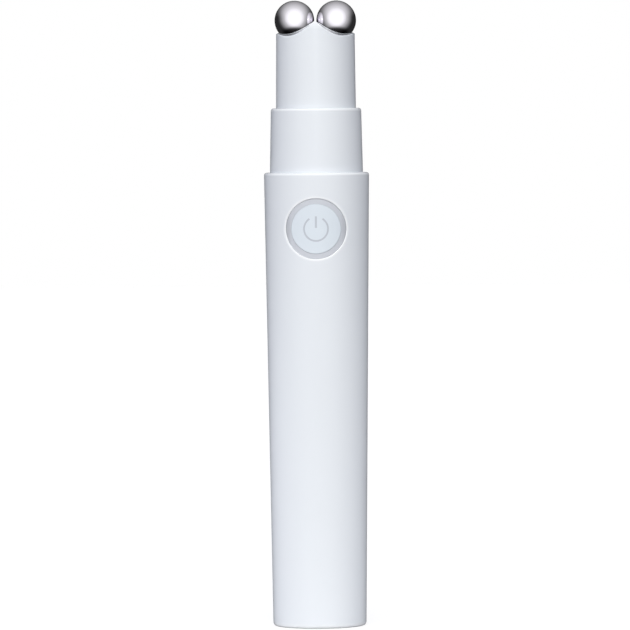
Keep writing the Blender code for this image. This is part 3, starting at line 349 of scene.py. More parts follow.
# Seal. A ring of soft grey silicone in the end cap's groove.
seal = add("seal_ring", turned([
    (0.00905 + 0.00045 * math.cos(math.radians(a)), 0.00275 + 0.00045 * math.sin(math.radians(a)))
    for a in range(0, 360, 20)
], 128), 60)
fit(seal, finish("grey_silicone", (0.16, 0.16, 0.17), 0.65, cloud=0.05), "seal_rubber", "wand", "end_cap_seal")

# Charging socket. A stamped and plated steel shell, open towards the slot, round a contact
# tongue of black resin. It is soldered to the tail of the board.
SOCKET_HALF = (0.00375, 0.00125)
SOCKET_LOW = 0.0004
SOCKET_TOP = 0.0054
SOCKET_WALL = 0.0003
socket = add("socket_case", eased_block(
    (-SOCKET_HALF[0], -SOCKET_HALF[1], SOCKET_LOW), (SOCKET_HALF[0], SOCKET_HALF[1], SOCKET_TOP), 0.0006
))
inside = (SOCKET_HALF[0] - SOCKET_WALL, SOCKET_HALF[1] - SOCKET_WALL)
hollow = add("socket_hollow", eased_block(
    (-inside[0], -inside[1], 0), (inside[0], inside[1], SOCKET_TOP - SOCKET_WALL * 2), 0.00035
))
cut(socket, "DIFFERENCE", hollow)
plated = finish("plated_steel", (0.62, 0.62, 0.64), 0.22, metallic=1.0, cloud=0.05, cloud_size=0.001, grain=0.1)
fit(socket, plated, "socket_steel", "wand", "socket_shell")
dress(black_resin, "socket_tongue")


# Barrel. The tapered sleeve of glossy white plastic that the hand holds, moulded in one piece.
# Its lower edge is rounded, its mouth takes the collar, and a round hole takes the light ring.
BARREL_LENGTH = 0.108
BARREL_FOOT_RADIUS = 0.0111
BARREL_TOP_RADIUS = 0.0125
BARREL_WALL = 0.0016
MOUTH_RADIUS = 0.01109
MOUTH_FLOOR = 0.10355
BUTTON_HEIGHT = 0.09475
HOLE_RADIUS = 0.0071
HOLE_EASING = 0.0004
HOLE_CROSSING = 0.00001
HOLE_DEEP = 0.005


def barrel_radius(height):
    """Outer radius of the tapered barrel."""
    return BARREL_FOOT_RADIUS + (BARREL_TOP_RADIUS - BARREL_FOOT_RADIUS) * height / BARREL_LENGTH


SKIN = barrel_radius(BUTTON_HEIGHT)
SKIN_LEVEL = SKIN - BARREL_WALL * 1.2


def wrap(bm):
    """Stand a form that was turned about Z on the button's axis, bent round with the barrel's skin.

    Its heights count from the wand's axis. What lies above the skin level follows the barrel.
    """
    for vert in bm.verts:
        across, up, out = vert.co
        height = BUTTON_HEIGHT + up
        if out > SKIN_LEVEL:
            depth = SKIN - out
            out = math.sqrt((barrel_radius(height) - depth) ** 2 - across ** 2)
        vert.co = (across, -out, height)
    bmesh.ops.recalc_face_normals(bm, faces=bm.faces)
    return bm


barrel = add("barrel_sleeve", turned(eased([
    (BARREL_FOOT_RADIUS, 0, 0.001),
    (BARREL_TOP_RADIUS, BARREL_LENGTH, 0.0007),
    (MOUTH_RADIUS, BARREL_LENGTH, 0.00005),
    (MOUTH_RADIUS, MOUTH_FLOOR + 0.00265, 0),
    (MOUTH_RADIUS + 0.0003, MOUTH_FLOOR + 0.00235, 0),
    (MOUTH_RADIUS + 0.0003, MOUTH_FLOOR + 0.0011, 0),
    (MOUTH_RADIUS, MOUTH_FLOOR + 0.0008, 0),
    (MOUTH_RADIUS, MOUTH_FLOOR, 0),
    (barrel_radius(MOUTH_FLOOR) - BARREL_WALL, MOUTH_FLOOR, 0),
    (barrel_radius(0.006) - BARREL_WALL, 0.006, 0),
    (barrel_radius(0.0057) - BARREL_WALL + 0.0003, 0.0057, 0),
    (barrel_radius(0.0042) - BARREL_WALL + 0.0003, 0.0042, 0),
    (barrel_radius(0.0039) - BARREL_WALL, 0.0039, 0),
    (BARREL_FOOT_RADIUS - BARREL_WALL, 0, 0.00012),
])))
button_hole = add("hole_tool", wrap(turned(eased([
    (0, HOLE_DEEP, 0),
    (HOLE_RADIUS, HOLE_DEEP, 0),
    (HOLE_RADIUS, SKIN + HOLE_CROSSING, HOLE_EASING),
    (HOLE_RADIUS + HOLE_EASING * 2, SKIN + HOLE_CROSSING, 0),
    (HOLE_RADIUS + HOLE_EASING * 2, SKIN + 0.001, 0),
    *((HOLE_RADIUS * share, SKIN + 0.001, 0) for share in (0.8, 0.6, 0.4, 0.2, 0)),
], closed=False, points=8), 192)))
cut(barrel, "DIFFERENCE", button_hole)
# Painted highlight on the barrel's rounded upper edge.
barrel_finish = paint_top_edge_highlight(white_gloss("barrel_white"), BARREL_LENGTH)
nodes, links = barrel_finish.node_tree.nodes, barrel_finish.node_tree.links
# Painted highlight in a band round the button hole's rim, on the front half of the barrel only.
from_button = nodes.new("ShaderNodeVectorMath")
from_button.operation = "SUBTRACT"
from_button.inputs[1].default_value = (0, 0, BUTTON_HEIGHT)
links.new(nodes["Texture Coordinate"].outputs["Object"], from_button.inputs[0])
button_plane = nodes.new("ShaderNodeVectorMath")
button_plane.operation = "MULTIPLY"
button_plane.inputs[1].default_value = (1, 0, 1)
links.new(from_button.outputs["Vector"], button_plane.inputs[0])
button_reach = nodes.new("ShaderNodeVectorMath")
button_reach.operation = "LENGTH"
links.new(button_plane.outputs["Vector"], button_reach.inputs[0])
split = nodes.new("ShaderNodeSeparateXYZ")
links.new(nodes["Texture Coordinate"].outputs["Object"], split.inputs["Vector"])
at_back = nodes.new("ShaderNodeMath")
at_back.operation = "GREATER_THAN"
at_back.inputs[1].default_value = 0
links.new(split.outputs["Y"], at_back.inputs[0])
rim_highlight_reach = nodes.new("ShaderNodeMath")
links.new(button_reach.outputs["Value"], rim_highlight_reach.inputs[0])
links.new(at_back.outputs["Value"], rim_highlight_reach.inputs[1])
paint_edge_highlight(barrel_finish, rim_highlight_reach.outputs["Value"], 0.007, 0.008, (0.9, (0.4, 0.8), (0.75, 0.1)))
# Painted highlight on the barrel's rounded lower edge, strongest at the very bottom.
paint_edge_highlight(barrel_finish, split.outputs["Z"], 0, 0.0012, (0.95, (0.5, 0.8), (0.9, 0.1)))
fit(barrel, barrel_finish, "white_shell", "wand", "barrel")

# Light ring. A ring of milky grey light guide, set just below the barrel's surface and bent with
# it. A flange behind the wall holds it, and its tube leads the light of the four lights forward.
RING_RADIUS = 0.00709
RING_BORE = 0.00588
RING_RECESS = 0.00025
RING_FRONT = SKIN - RING_RECESS
ring = add("light_ring_guide", wrap(turned(eased([
    (RING_BORE, 0.00948, 0),
    (RING_BORE, RING_FRONT, 0.00005),
    (0.0062, RING_FRONT, 0),
    (0.0066, RING_FRONT, 0),
    (RING_RADIUS, RING_FRONT, 0.0001),
    (RING_RADIUS, SKIN - BARREL_WALL - 0.0002, 0),
    (0.00795, SKIN - BARREL_WALL - 0.0002, 0),
    (0.00795, 0.006, 0),
    (0.00685, 0.006, 0),
    (0.00685, -0.00045, 0.0002),
    (0.00635, -0.00045, 0.0002),
    (0.00635, 0.00948, 0),
]), 192)))
ring_finish = finish("milky_light_guide", (0.60, 0.62, 0.67), 0.3, cloud=0.015, cloud_size=0.002, grain=0.05)
nodes, links = ring_finish.node_tree.nodes, ring_finish.node_tree.links
# Painted shade: the ring's colour darkens towards its left and right sides, to 0.78 of it at the outer edge.
split = nodes.new("ShaderNodeSeparateXYZ")
links.new(nodes["Texture Coordinate"].outputs["Object"], split.inputs["Vector"])
aside = nodes.new("ShaderNodeMath")
aside.operation = "ABSOLUTE"
links.new(split.outputs["X"], aside.inputs[0])
ring_side_shade = nodes.new("ShaderNodeMapRange")
ring_side_shade.inputs["From Min"].default_value = 0.0058
ring_side_shade.inputs["From Max"].default_value = RING_RADIUS
ring_side_shade.inputs["To Min"].default_value = 1
ring_side_shade.inputs["To Max"].default_value = 0.78
links.new(aside.outputs["Value"], ring_side_shade.inputs["Value"])
shade = nodes.new("ShaderNodeVectorMath")
shade.operation = "SCALE"
base = nodes["Principled BSDF"].inputs["Base Color"]
links.new(base.links[0].from_socket, shade.inputs[0])
links.new(ring_side_shade.outputs["Result"], shade.inputs["Scale"])
links.new(shade.outputs["Vector"], base)
fit(ring, ring_finish, "light_guide", "wand", "light_ring")

# Button cap. A pale satin cap that stands inside the ring and slides in when it is pressed. A
# flange behind the ring's lip holds it, and a stem in its middle presses the switch.
CAP_FACE_RADIUS = 0.00586
CAP_RECESS = 0.0001
CAP_FRONT = SKIN - CAP_RECESS
button = add("button_disc", wrap(turned(eased([
    (0, 0.00655, 0),
    (0.0014, 0.00655, 0.0002),
    (0.0014, 0.00958, 0),
    (0.0045, 0.00958, 0),
    (0.0045, 0.00828, 0),
    (0.0062, 0.00828, 0),
    (0.0062, 0.00928, 0),
    (CAP_FACE_RADIUS, 0.00928, 0),
    (CAP_FACE_RADIUS, CAP_FRONT, 0.0001),
    *((CAP_FACE_RADIUS * share / 12, CAP_FRONT, 0) for share in range(11, -1, -1)),
], closed=False), 192)))
cap_finish = finish("pale_satin_cap", (0.72, 0.78, 0.84), 0.3, cloud=0.008, cloud_size=0.004, grain=0.05)
fit(button, cap_finish, "button_white", "button", "button_cap")

# Power symbol. A broken circle and a bar, moulded in the ring's grey into the cap's face.
SYMBOL_RADIUS = 0.00283
SYMBOL_LINE = 0.0004
SYMBOL_GAP = math.radians(33)
SYMBOL_BAR_LINE = 0.00048
SYMBOL_BAR_LOW = 0.00025
SYMBOL_BAR_TOP = 0.00295
SYMBOL_LOW = CAP_FRONT - 0.00008
SYMBOL_FRONT = CAP_FRONT + 0.000008
arc = bmesh.new()
start = math.radians(90) + SYMBOL_GAP
direction = Vector((math.cos(start), math.sin(start), 0))
corners = [
    arc.verts.new(direction * (SYMBOL_RADIUS + side * SYMBOL_LINE / 2) + Vector((0, 0, out)))
    for side, out in ((-1, SYMBOL_LOW), (1, SYMBOL_LOW), (1, SYMBOL_FRONT), (-1, SYMBOL_FRONT))
]
section = arc.faces.new(corners)
bmesh.ops.spin(
    arc, geom=[section, *section.edges, *corners], cent=(0, 0, 0), axis=(0, 0, 1),
    angle=math.radians(360) - SYMBOL_GAP * 2, steps=96,
)
bar = bmesh.ops.create_cube(arc, size=1)["verts"]
bmesh.ops.scale(
    arc, verts=bar, vec=(SYMBOL_BAR_LINE, SYMBOL_BAR_TOP - SYMBOL_BAR_LOW, SYMBOL_FRONT - SYMBOL_LOW)
)
bmesh.ops.translate(
    arc, verts=bar,
    vec=(0, (SYMBOL_BAR_LOW + SYMBOL_BAR_TOP) / 2, (SYMBOL_LOW + SYMBOL_FRONT) / 2),
)
symbol = add("power_symbol", wrap(arc))
symbol_finish = finish("grey_symbol", (0.52, 0.55, 0.61), 0.35, cloud=0.02, cloud_size=0.002)
fit(symbol, symbol_finish, "light_guide", "button")

# Neck frame. The natural white inner tube that stands on the chassis and holds up the head.
dress(natural_plastic, "neck_frame")

# Collar. A short stepped sleeve of the same glossy white, snapped into the barrel's mouth. Its
# ledge traps the flange of the head.
COLLAR_FOOT_RADIUS = 0.01107
COLLAR_TOP_RADIUS = 0.01074
COLLAR_BORE = 0.01004
COLLAR_LOW = MOUTH_FLOOR + 0.0002
COLLAR_TOP = 0.1233
COLLAR_LEDGE = 0.0014
HEAD_FOOT_RADIUS = 0.0095
COLLAR_EYE = HEAD_FOOT_RADIUS + 0.00002
collar = add("collar_sleeve", turned(eased([
    (COLLAR_BORE, COLLAR_LOW, 0),
    (COLLAR_FOOT_RADIUS, COLLAR_LOW, 0.0001),
    (COLLAR_FOOT_RADIUS, COLLAR_LOW + 0.0011, 0),
    (COLLAR_FOOT_RADIUS + 0.00025, COLLAR_LOW + 0.00155, 0),
    (COLLAR_FOOT_RADIUS, COLLAR_LOW + 0.002, 0),
    (COLLAR_FOOT_RADIUS, BARREL_LENGTH, 0),
    (COLLAR_TOP_RADIUS, COLLAR_TOP, 0.0007),
    (COLLAR_EYE, COLLAR_TOP, 0.00005),
    (COLLAR_EYE, COLLAR_TOP - COLLAR_LEDGE, 0),
    (COLLAR_BORE, COLLAR_TOP - COLLAR_LEDGE, 0),
])))
# Painted highlight on the collar's rounded upper edge.
fit(collar, paint_top_edge_highlight(white_gloss("collar_white"), COLLAR_TOP), "white_shell", "wand", "collar")

# Head. A narrow white tube whose front and back run up to the two ends of a level ridge between
# the balls. The roof falls in a wave to both sides of it. A flange at its foot holds it.
HEAD_TOP_RADIUS = 0.00935
HEAD_BORE = 0.00815
FLANGE_RADIUS = 0.00989
FLANGE_TOP = COLLAR_TOP - COLLAR_LEDGE - 0.0002
FLANGE_LOW = FLANGE_TOP - 0.0012
BALL_SIDE = 0.004975
BALL_HEIGHT = 0.14413
CEILING = BALL_HEIGHT - 0.004025
RIDGE = BALL_HEIGHT - 0.0003
RIDGE_EASING = 0.00015
RIM_EASING = 0.0003
ROOF_DEPTH = 0.005225
ROOF_SWELL = 0.48
ROOF_FILL = 0.6
ROOF_BEND_FROM = COLLAR_TOP + 0.002
ROOF_BEND_TO = RIDGE - RIM_EASING * 1.5
SOCKET_RADIUS = 0.00534


def roof(x, y, crest):
    """Height of a roof that falls in a wave to both sides of its ridge, less so near the middle."""
    beside = min(1, (math.sqrt(x * x + RIDGE_EASING ** 2) - RIDGE_EASING) / HEAD_TOP_RADIUS)
    across, along = (x / HEAD_TOP_RADIUS) ** 2, (y / HEAD_TOP_RADIUS) ** 2
    swell = ROOF_SWELL * (across + ROOF_FILL * (1 - across - along))
    return crest - ROOF_DEPTH * math.sin(math.radians(90) * beside) * (1 - swell)


def paint_ball_shade(material):
    """Paints shade into a white finish: grey inside the roof's rim beside the balls, where it lies in their shade."""
    nodes, links = material.node_tree.nodes, material.node_tree.links
    split = nodes.new("ShaderNodeSeparateXYZ")
    links.new(nodes["Texture Coordinate"].outputs["Object"], split.inputs["Vector"])
    flat = nodes.new("ShaderNodeVectorMath")
    flat.operation = "MULTIPLY"
    flat.inputs[1].default_value = (1, 1, 0)
    links.new(nodes["Texture Coordinate"].outputs["Object"], flat.inputs[0])
    reach = nodes.new("ShaderNodeVectorMath")
    reach.operation = "LENGTH"
    links.new(flat.outputs["Vector"], reach.inputs[0])
    inside = nodes.new("ShaderNodeMapRange")
    inside.inputs["From Min"].default_value = HEAD_TOP_RADIUS - RIM_EASING / 2
    inside.inputs["From Max"].default_value = HEAD_TOP_RADIUS - RIM_EASING * 1.5
    links.new(reach.outputs["Value"], inside.inputs["Value"])
    aside = nodes.new("ShaderNodeMath")
    aside.operation = "ABSOLUTE"
    links.new(split.outputs["X"], aside.inputs[0])
    beside = nodes.new("ShaderNodeMapRange")
    beside.interpolation_type = "SMOOTHSTEP"
    beside.inputs["From Min"].default_value = 0.0027
    beside.inputs["From Max"].default_value = 0.0066
    links.new(aside.outputs["Value"], beside.inputs["Value"])
    share = nodes.new("ShaderNodeMath")
    share.operation = "MULTIPLY"
    links.new(inside.outputs["Result"], share.inputs[0])
    links.new(beside.outputs["Result"], share.inputs[1])
    painted_shade_tone = nodes.new("ShaderNodeMix")
    painted_shade_tone.data_type = "RGBA"
    # Colour of the painted shade.
    painted_shade_tone.inputs["B"].default_value = (0.26, 0.27, 0.29, 1)
    links.new(share.outputs["Value"], painted_shade_tone.inputs["Factor"])
    links.new(nodes["Mix"].outputs["Result"], painted_shade_tone.inputs["A"])
    links.new(painted_shade_tone.outputs["Result"], nodes["Principled BSDF"].inputs["Base Color"])
    return material


def sphere(name, radius, side, steps=160):
    """A fine sphere about a ball's centre, turned a little so that its edges miss other edges."""
    bm = bmesh.new()
    bmesh.ops.create_uvsphere(bm, u_segments=steps, v_segments=steps // 2, radius=radius)
    turn = Matrix.Rotation(math.radians(360) / steps / 4, 3, "Z")
    bmesh.ops.rotate(bm, verts=bm.verts, cent=(0, 0, 0), matrix=turn)
    bmesh.ops.translate(bm, verts=bm.verts, vec=(side, 0, BALL_HEIGHT))
    return add(name, bm)


head_form = turned(eased([
    (0, CEILING, 0),
    (HEAD_BORE, CEILING, 0),
    (HEAD_BORE, FLANGE_LOW, 0),
    (FLANGE_RADIUS, FLANGE_LOW, 0.0001),
    (FLANGE_RADIUS, FLANGE_TOP, 0.0001),
    (HEAD_FOOT_RADIUS, FLANGE_TOP, 0),
    (HEAD_FOOT_RADIUS, COLLAR_TOP, 0),
    *((HEAD_FOOT_RADIUS + (HEAD_TOP_RADIUS - HEAD_FOOT_RADIUS) * step / 9, COLLAR_TOP + 0.002 * step, 0)
      for step in range(1, 10)),
    (HEAD_TOP_RADIUS, RIDGE, RIM_EASING),
    *((HEAD_TOP_RADIUS * step / 24, RIDGE, 0) for step in range(22, -1, -1)),
], closed=False))
for vert in head_form.verts:
    reach = math.hypot(vert.co.x, vert.co.y)
    if vert.co.z > CEILING + 0.00001 or reach > HEAD_BORE + 0.0005:
        share = min(1, max(0, (vert.co.z - ROOF_BEND_FROM) / (ROOF_BEND_TO - ROOF_BEND_FROM)))
        vert.co.z -= share * (RIDGE - roof(vert.co.x, vert.co.y, RIDGE))
bmesh.ops.recalc_face_normals(head_form, faces=head_form.faces)
head = add("head_tube", head_form)
cut(head, "DIFFERENCE", sphere("socket_left", SOCKET_RADIUS, -BALL_SIDE), sphere("socket_right", SOCKET_RADIUS, BALL_SIDE))
# Painted shade, grey, on the roof beside the balls.
head_finish = paint_ball_shade(white_gloss("head_white"))
nodes, links = head_finish.node_tree.nodes, head_finish.node_tree.links
split = nodes.new("ShaderNodeSeparateXYZ")
links.new(nodes["Texture Coordinate"].outputs["Object"], split.inputs["Vector"])
# Painted highlight along the top of the ridge between the balls.
paint_edge_highlight(head_finish, split.outputs["Z"], RIDGE - 0.002, RIDGE + 0.002, (0, (0.4, 0.8), (0.5, 0.95), (0.99, 0.95)))
fit(head, head_finish, "white_shell", "wand", "head_shell")
head.visible_glossy = False

# Electrode seat. A separate insulating insert of the same white plastic. Its thin lips follow the
# balls and stand a little above the roof, which leaves a fine parting line round them.
CUP_RADIUS = 0.00482
SEAT_RADIUS = 0.00524
SEAT_TRIM = 0.00929
LIP_CREST = RIDGE + 0.0001
SEAT_TOP = CEILING - 0.0002
SEAT_LOW = SEAT_TOP - 0.0043
SEAT_PLATE_RADIUS = 0.008
SCREW_HOLE_RADIUS = 0.001


def lip_angle(side, turn):
    """How far up round the ball its lip reaches, in one direction round it, as an angle from below."""
    low, high = 0, math.radians(120)
    middle = (CUP_RADIUS + SEAT_RADIUS) / 2
    for _ in range(30):
        angle = (low + high) / 2
        x = side + middle * math.sin(angle) * math.cos(turn)
        y = middle * math.sin(angle) * math.sin(turn)
        z = BALL_HEIGHT - middle * math.cos(angle)
        if z < roof(x, y, LIP_CREST):
            low = angle
        else:
            high = angle
    return low


def lip(name, side):
    """A thin cup round the lower part of a ball, with a rounded rim of changing height."""
    wall = SEAT_RADIUS - CUP_RADIUS
    middle = (CUP_RADIUS + SEAT_RADIUS) / 2
    rows = [step / 20 for step in range(21)]
    rim = [math.pi * step / 8 for step in range(1, 8)]
    outline = [(share, SEAT_RADIUS) for share in rows]
    outline += [(1 + wall / 2 * math.sin(a) / middle, middle + wall / 2 * math.cos(a)) for a in rim]
    outline += [(share, CUP_RADIUS) for share in reversed(rows)]
    bm = turned(outline, 180)
    angles = {}
    for vert in bm.verts:
        share, radius = math.hypot(vert.co.x, vert.co.y), vert.co.z
        turn = math.atan2(vert.co.y, vert.co.x)
        key = round(turn, 5)
        if key not in angles:
            angles[key] = lip_angle(side, turn)
        angle = angles[key] * min(1, share) + max(0, share - 1) - wall / 2 / middle * share
        x = side + radius * math.sin(angle) * math.cos(turn)
        y = radius * math.sin(angle) * math.sin(turn)
        reach = math.hypot(x, y)
        pull = min(1, SEAT_TRIM / reach) if reach > 0 else 1
        vert.co = (x * pull, y * pull, BALL_HEIGHT - radius * math.cos(angle))
    bmesh.ops.recalc_face_normals(bm, faces=bm.faces)
    return add(name, bm, 60)


seat = lip("electrode_seat_lips", -BALL_SIDE)
plate = add("seat_plate", turned(eased([
    (0, SEAT_LOW, 0),
    (SEAT_PLATE_RADIUS, SEAT_LOW, 0.0002),
    (SEAT_PLATE_RADIUS, SEAT_TOP, 0.0002),
    (0, SEAT_TOP, 0),
], closed=False), 128))
cut(seat, "UNION", lip("lip_right", BALL_SIDE), plate)
cut(seat, "DIFFERENCE", sphere("cup_left", CUP_RADIUS, -BALL_SIDE), sphere("cup_right", CUP_RADIUS, BALL_SIDE))
# Painted shade, grey, on the lips beside the balls.
fit(seat, paint_ball_shade(white_gloss("seat_white")), "white_shell", "wand", "electrode_seat")
seat.visible_glossy = False

# Ball electrodes. Two polished balls, chrome plated, each held from below by a screw that also
# clamps a solder lug of tinned brass. A blue wire runs from each lug down to the board.
BALL_RADIUS = 0.004725
THREAD_RADIUS = 0.001
THREAD_TOP = -0.00125
chrome = finish(
    "polished_chrome", (0.79, 0.772, 0.822), 0.05, metallic=1.0, cloud=0.02, cloud_size=0.003,
    grain=0.02, grain_size=0.0004,
)
for side_name, side in (("left", -BALL_SIDE), ("right", BALL_SIDE)):
    lowest = math.asin(THREAD_RADIUS / BALL_RADIUS)
    arc_angles = [lowest + (math.pi - lowest) * step / 72 for step in range(72)]
    bm = turned([
        (0, THREAD_TOP),
        (THREAD_RADIUS, THREAD_TOP),
        *((BALL_RADIUS * math.sin(a), -BALL_RADIUS * math.cos(a)) for a in arc_angles),
        (0, BALL_RADIUS),
    ], 144)
    bmesh.ops.translate(bm, verts=bm.verts, vec=(side, 0, BALL_HEIGHT))
    fit(add(f"electrode_{side_name}", bm), chrome, "electrode_chrome", "wand", f"ball_{side_name}")
tinned = finish("tinned_brass", (0.72, 0.55, 0.28), 0.3, metallic=1.0, cloud=0.1, cloud_size=0.001)
dress(tinned, "solder_lug_left", "solder_lug_right")
dress(finish("blue_insulation", (0.03, 0.10, 0.45), 0.45, cloud=0.08), "electrode_wire_left", "electrode_wire_right")


# Studio floor. A white table, which the camera sees as white and which keeps the wand's soft shadow. It gives
# back most light close to the wand: a painted pool of light, as a small table in a darker room would give.
FLOOR_SIZE = 6
BOUNCE_POOL_NEAR = 0.02
BOUNCE_POOL_FAR = 0.15
floor_form = bmesh.new()
bmesh.ops.create_grid(floor_form, x_segments=1, y_segments=1, size=FLOOR_SIZE / 2)
floor = add("floor", floor_form)
paper = bpy.data.materials.new("white_paper")
paper.use_nodes = True
nodes, links = paper.node_tree.nodes, paper.node_tree.links
nodes.clear()
floor_place = nodes.new("ShaderNodeTexCoord")
from_wand = nodes.new("ShaderNodeVectorMath")
from_wand.operation = "LENGTH"
links.new(floor_place.outputs["Object"], from_wand.inputs[0])
# Painted pool of bounced light: the floor's colour falls from 0.62 near the wand to 0.35 farther out.
bounce_pool = nodes.new("ShaderNodeMapRange")
bounce_pool.interpolation_type = "SMOOTHSTEP"
bounce_pool.inputs["From Min"].default_value = BOUNCE_POOL_NEAR
bounce_pool.inputs["From Max"].default_value = BOUNCE_POOL_FAR
bounce_pool.inputs["To Min"].default_value = 0.62
bounce_pool.inputs["To Max"].default_value = 0.35
links.new(from_wand.outputs["Value"], bounce_pool.inputs["Value"])
matt = nodes.new("ShaderNodeBsdfDiffuse")
links.new(bounce_pool.outputs["Result"], matt.inputs["Color"])
glow = nodes.new("ShaderNodeEmission")
glow.inputs["Strength"].default_value = 0.75
faint = nodes.new("ShaderNodeBsdfDiffuse")
faint.inputs["Color"].default_value = (0.3, 0.3, 0.3, 1)
paper_white = nodes.new("ShaderNodeAddShader")
links.new(faint.outputs["BSDF"], paper_white.inputs[0])
links.new(glow.outputs["Emission"], paper_white.inputs[1])
seen = nodes.new("ShaderNodeMixShader")
sight_kind = nodes.new("ShaderNodeLightPath")
links.new(sight_kind.outputs["Is Camera Ray"], seen.inputs["Fac"])
links.new(matt.outputs["BSDF"], seen.inputs[1])
links.new(paper_white.outputs["Shader"], seen.inputs[2])
out = nodes.new("ShaderNodeOutputMaterial")
links.new(seen.outputs["Shader"], out.inputs["Surface"])
floor.data.materials.append(paper)
floor.visible_glossy = False

# Light. A dim, slightly blue room, which the camera, metal and glass see as white, with one large
# softbox in front, a little above, and a weaker one behind for the wand's back.
AMBIENT = 0.27
world = bpy.data.worlds.new("studio")
bpy.context.scene.world = world
world.use_nodes = True
nodes, links = world.node_tree.nodes, world.node_tree.links
air = nodes["Background"]
rays = nodes.new("ShaderNodeLightPath")
direct = nodes.new("ShaderNodeMath")
direct.operation = "MAXIMUM"
links.new(rays.outputs["Is Camera Ray"], direct.inputs[0])
links.new(rays.outputs["Is Glossy Ray"], direct.inputs[1])
through = nodes.new("ShaderNodeMath")
through.operation = "MAXIMUM"
links.new(direct.outputs["Value"], through.inputs[0])
links.new(rays.outputs["Is Transmission Ray"], through.inputs[1])
level = nodes.new("ShaderNodeMix")
level.data_type = "RGBA"
level.inputs["A"].default_value = (AMBIENT * 0.98, AMBIENT, AMBIENT * 1.24, 1)
level.inputs["B"].default_value = (1, 1, 1, 1)
links.new(through.outputs["Value"], level.inputs["Factor"])
links.new(level.outputs["Result"], air.inputs["Color"])


def towards(up, aside):
    """The direction at an angle above the front, turned aside from it."""
    up, aside = math.radians(up), math.radians(aside)
    return Vector((math.sin(aside) * math.cos(up), -math.cos(aside) * math.cos(up), math.sin(up)))


def soft_light(name, direction, energy, spread, tint=(1, 1, 0.95)):
    """A soft light from one direction, as a large softbox gives."""
    light = bpy.data.lights.new(name, "SUN")
    light.energy = energy
    light.angle = math.radians(spread)
    light.color = tint
    lamp = bpy.data.objects.new(name, light)
    bpy.context.scene.collection.objects.link(lamp)
    lamp.rotation_euler = direction.to_track_quat("Z", "Y").to_euler()
    lamp.visible_glossy = False


soft_light("softbox", towards(28, -1), energy=2.25, spread=80)
soft_light("left_fill", towards(10, -90), energy=0.29, spread=60, tint=(0.97, 1, 1.18))
soft_light("overhead", towards(70, 0), energy=0.57, spread=70)
soft_light("back_softbox", towards(20, 180), energy=1.0, spread=60)
for card_name, side, power in (("left_card", -1, 0.0155), ("right_card", 1, 0.008)):
    card = bpy.data.objects.new(card_name, bpy.data.lights.new(card_name, "AREA"))
    card.data.size = 0.06
    card.data.energy = power
    card.location = (0.09 * side, 0, 0.038)
    card.rotation_euler = (0, math.radians(90) * side, 0)
    bpy.context.scene.collection.objects.link(card)
    card.visible_camera = False
    card.visible_glossy = False

# Studio shell. What gloss and metal reflect: the bright softbox in front, a grey ceiling, and the
# dark room below and behind the wand.
SHELL_RADIUS = 0.9
SHELL_GLOW = 1.36
CORE_GLOW = 3.6
CORE_FROM = 0.972
CORE_TO = 0.995
KEY_STOPS = (
    (0.36, 0.02), (0.46, 0.05), (0.53, 0.12), (0.594, 0.20), (0.641, 0.27), (0.768, 0.50), (0.80, 0.64), (0.85, 0.80),
    (0.90, 0.93), (0.94, 1.0),
)
CEILING_GLOW = 0.35
DARK_BELOW = -0.75
LIT_ABOVE = -0.36
shell_form = bmesh.new()
bmesh.ops.create_uvsphere(shell_form, u_segments=64, v_segments=32, radius=SHELL_RADIUS)
shell = add("studio_shell", shell_form)
glowing = bpy.data.materials.new("studio_glow")
glowing.use_nodes = True
nodes, links = glowing.node_tree.nodes, glowing.node_tree.links
nodes.clear()
spot = nodes.new("ShaderNodeTexCoord")
unit = nodes.new("ShaderNodeVectorMath")
unit.operation = "NORMALIZE"
links.new(spot.outputs["Object"], unit.inputs[0])
facing = nodes.new("ShaderNodeVectorMath")
facing.operation = "DOT_PRODUCT"
facing.inputs[1].default_value = towards(22, 2)
links.new(unit.outputs["Vector"], facing.inputs[0])
facing_share = nodes.new("ShaderNodeMapRange")
facing_share.inputs["From Min"].default_value = -1
links.new(facing.outputs["Value"], facing_share.inputs["Value"])
ramp = nodes.new("ShaderNodeValToRGB")
links.new(facing_share.outputs["Result"], ramp.inputs["Fac"])
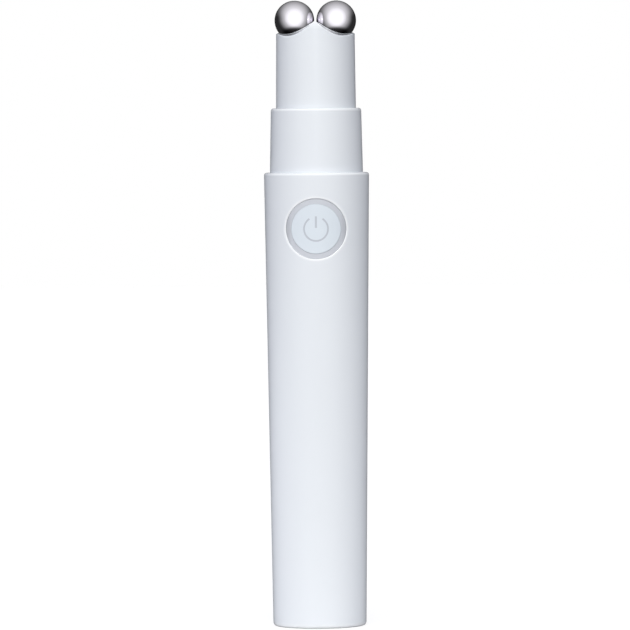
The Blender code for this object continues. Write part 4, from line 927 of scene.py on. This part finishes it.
for place, value in KEY_STOPS:
    stop = ramp.color_ramp.elements.new(place)
    stop.color = (value, value, value, 1)
ramp.color_ramp.elements.remove(ramp.color_ramp.elements[0])
ramp.color_ramp.elements.remove(ramp.color_ramp.elements[-1])
split = nodes.new("ShaderNodeSeparateXYZ")
links.new(unit.outputs["Vector"], split.inputs["Vector"])
ceiling = nodes.new("ShaderNodeMapRange")
ceiling.interpolation_type = "SMOOTHSTEP"
ceiling.inputs["From Min"].default_value = 0.3
ceiling.inputs["To Max"].default_value = CEILING_GLOW
links.new(split.outputs["Z"], ceiling.inputs["Value"])
room = nodes.new("ShaderNodeMix")
room.data_type = "RGBA"
room.blend_type = "SCREEN"
room.inputs["Factor"].default_value = 1
links.new(ramp.outputs["Color"], room.inputs["A"])
links.new(ceiling.outputs["Result"], room.inputs["B"])
core = nodes.new("ShaderNodeMapRange")
core.interpolation_type = "SMOOTHSTEP"
core.inputs["From Min"].default_value = CORE_FROM
core.inputs["From Max"].default_value = CORE_TO
core.inputs["To Min"].default_value = SHELL_GLOW
core.inputs["To Max"].default_value = CORE_GLOW
links.new(facing.outputs["Value"], core.inputs["Value"])
below = nodes.new("ShaderNodeMapRange")
below.interpolation_type = "SMOOTHSTEP"
below.inputs["From Min"].default_value = DARK_BELOW
below.inputs["From Max"].default_value = LIT_ABOVE
below.inputs["To Min"].default_value = 0.08
links.new(split.outputs["Z"], below.inputs["Value"])
strength = nodes.new("ShaderNodeMath")
strength.operation = "MULTIPLY"
links.new(core.outputs["Result"], strength.inputs[0])
links.new(below.outputs["Result"], strength.inputs[1])
radiance = nodes.new("ShaderNodeEmission")
links.new(strength.outputs["Value"], radiance.inputs["Strength"])
links.new(room.outputs["Result"], radiance.inputs["Color"])
out = nodes.new("ShaderNodeOutputMaterial")
links.new(radiance.outputs["Emission"], out.inputs["Surface"])
shell.data.materials.append(glowing)
for kind in ("visible_camera", "visible_diffuse", "visible_transmission", "visible_volume_scatter", "visible_shadow"):
    setattr(shell, kind, False)

bpy.context.scene.view_settings.view_transform = "Standard"
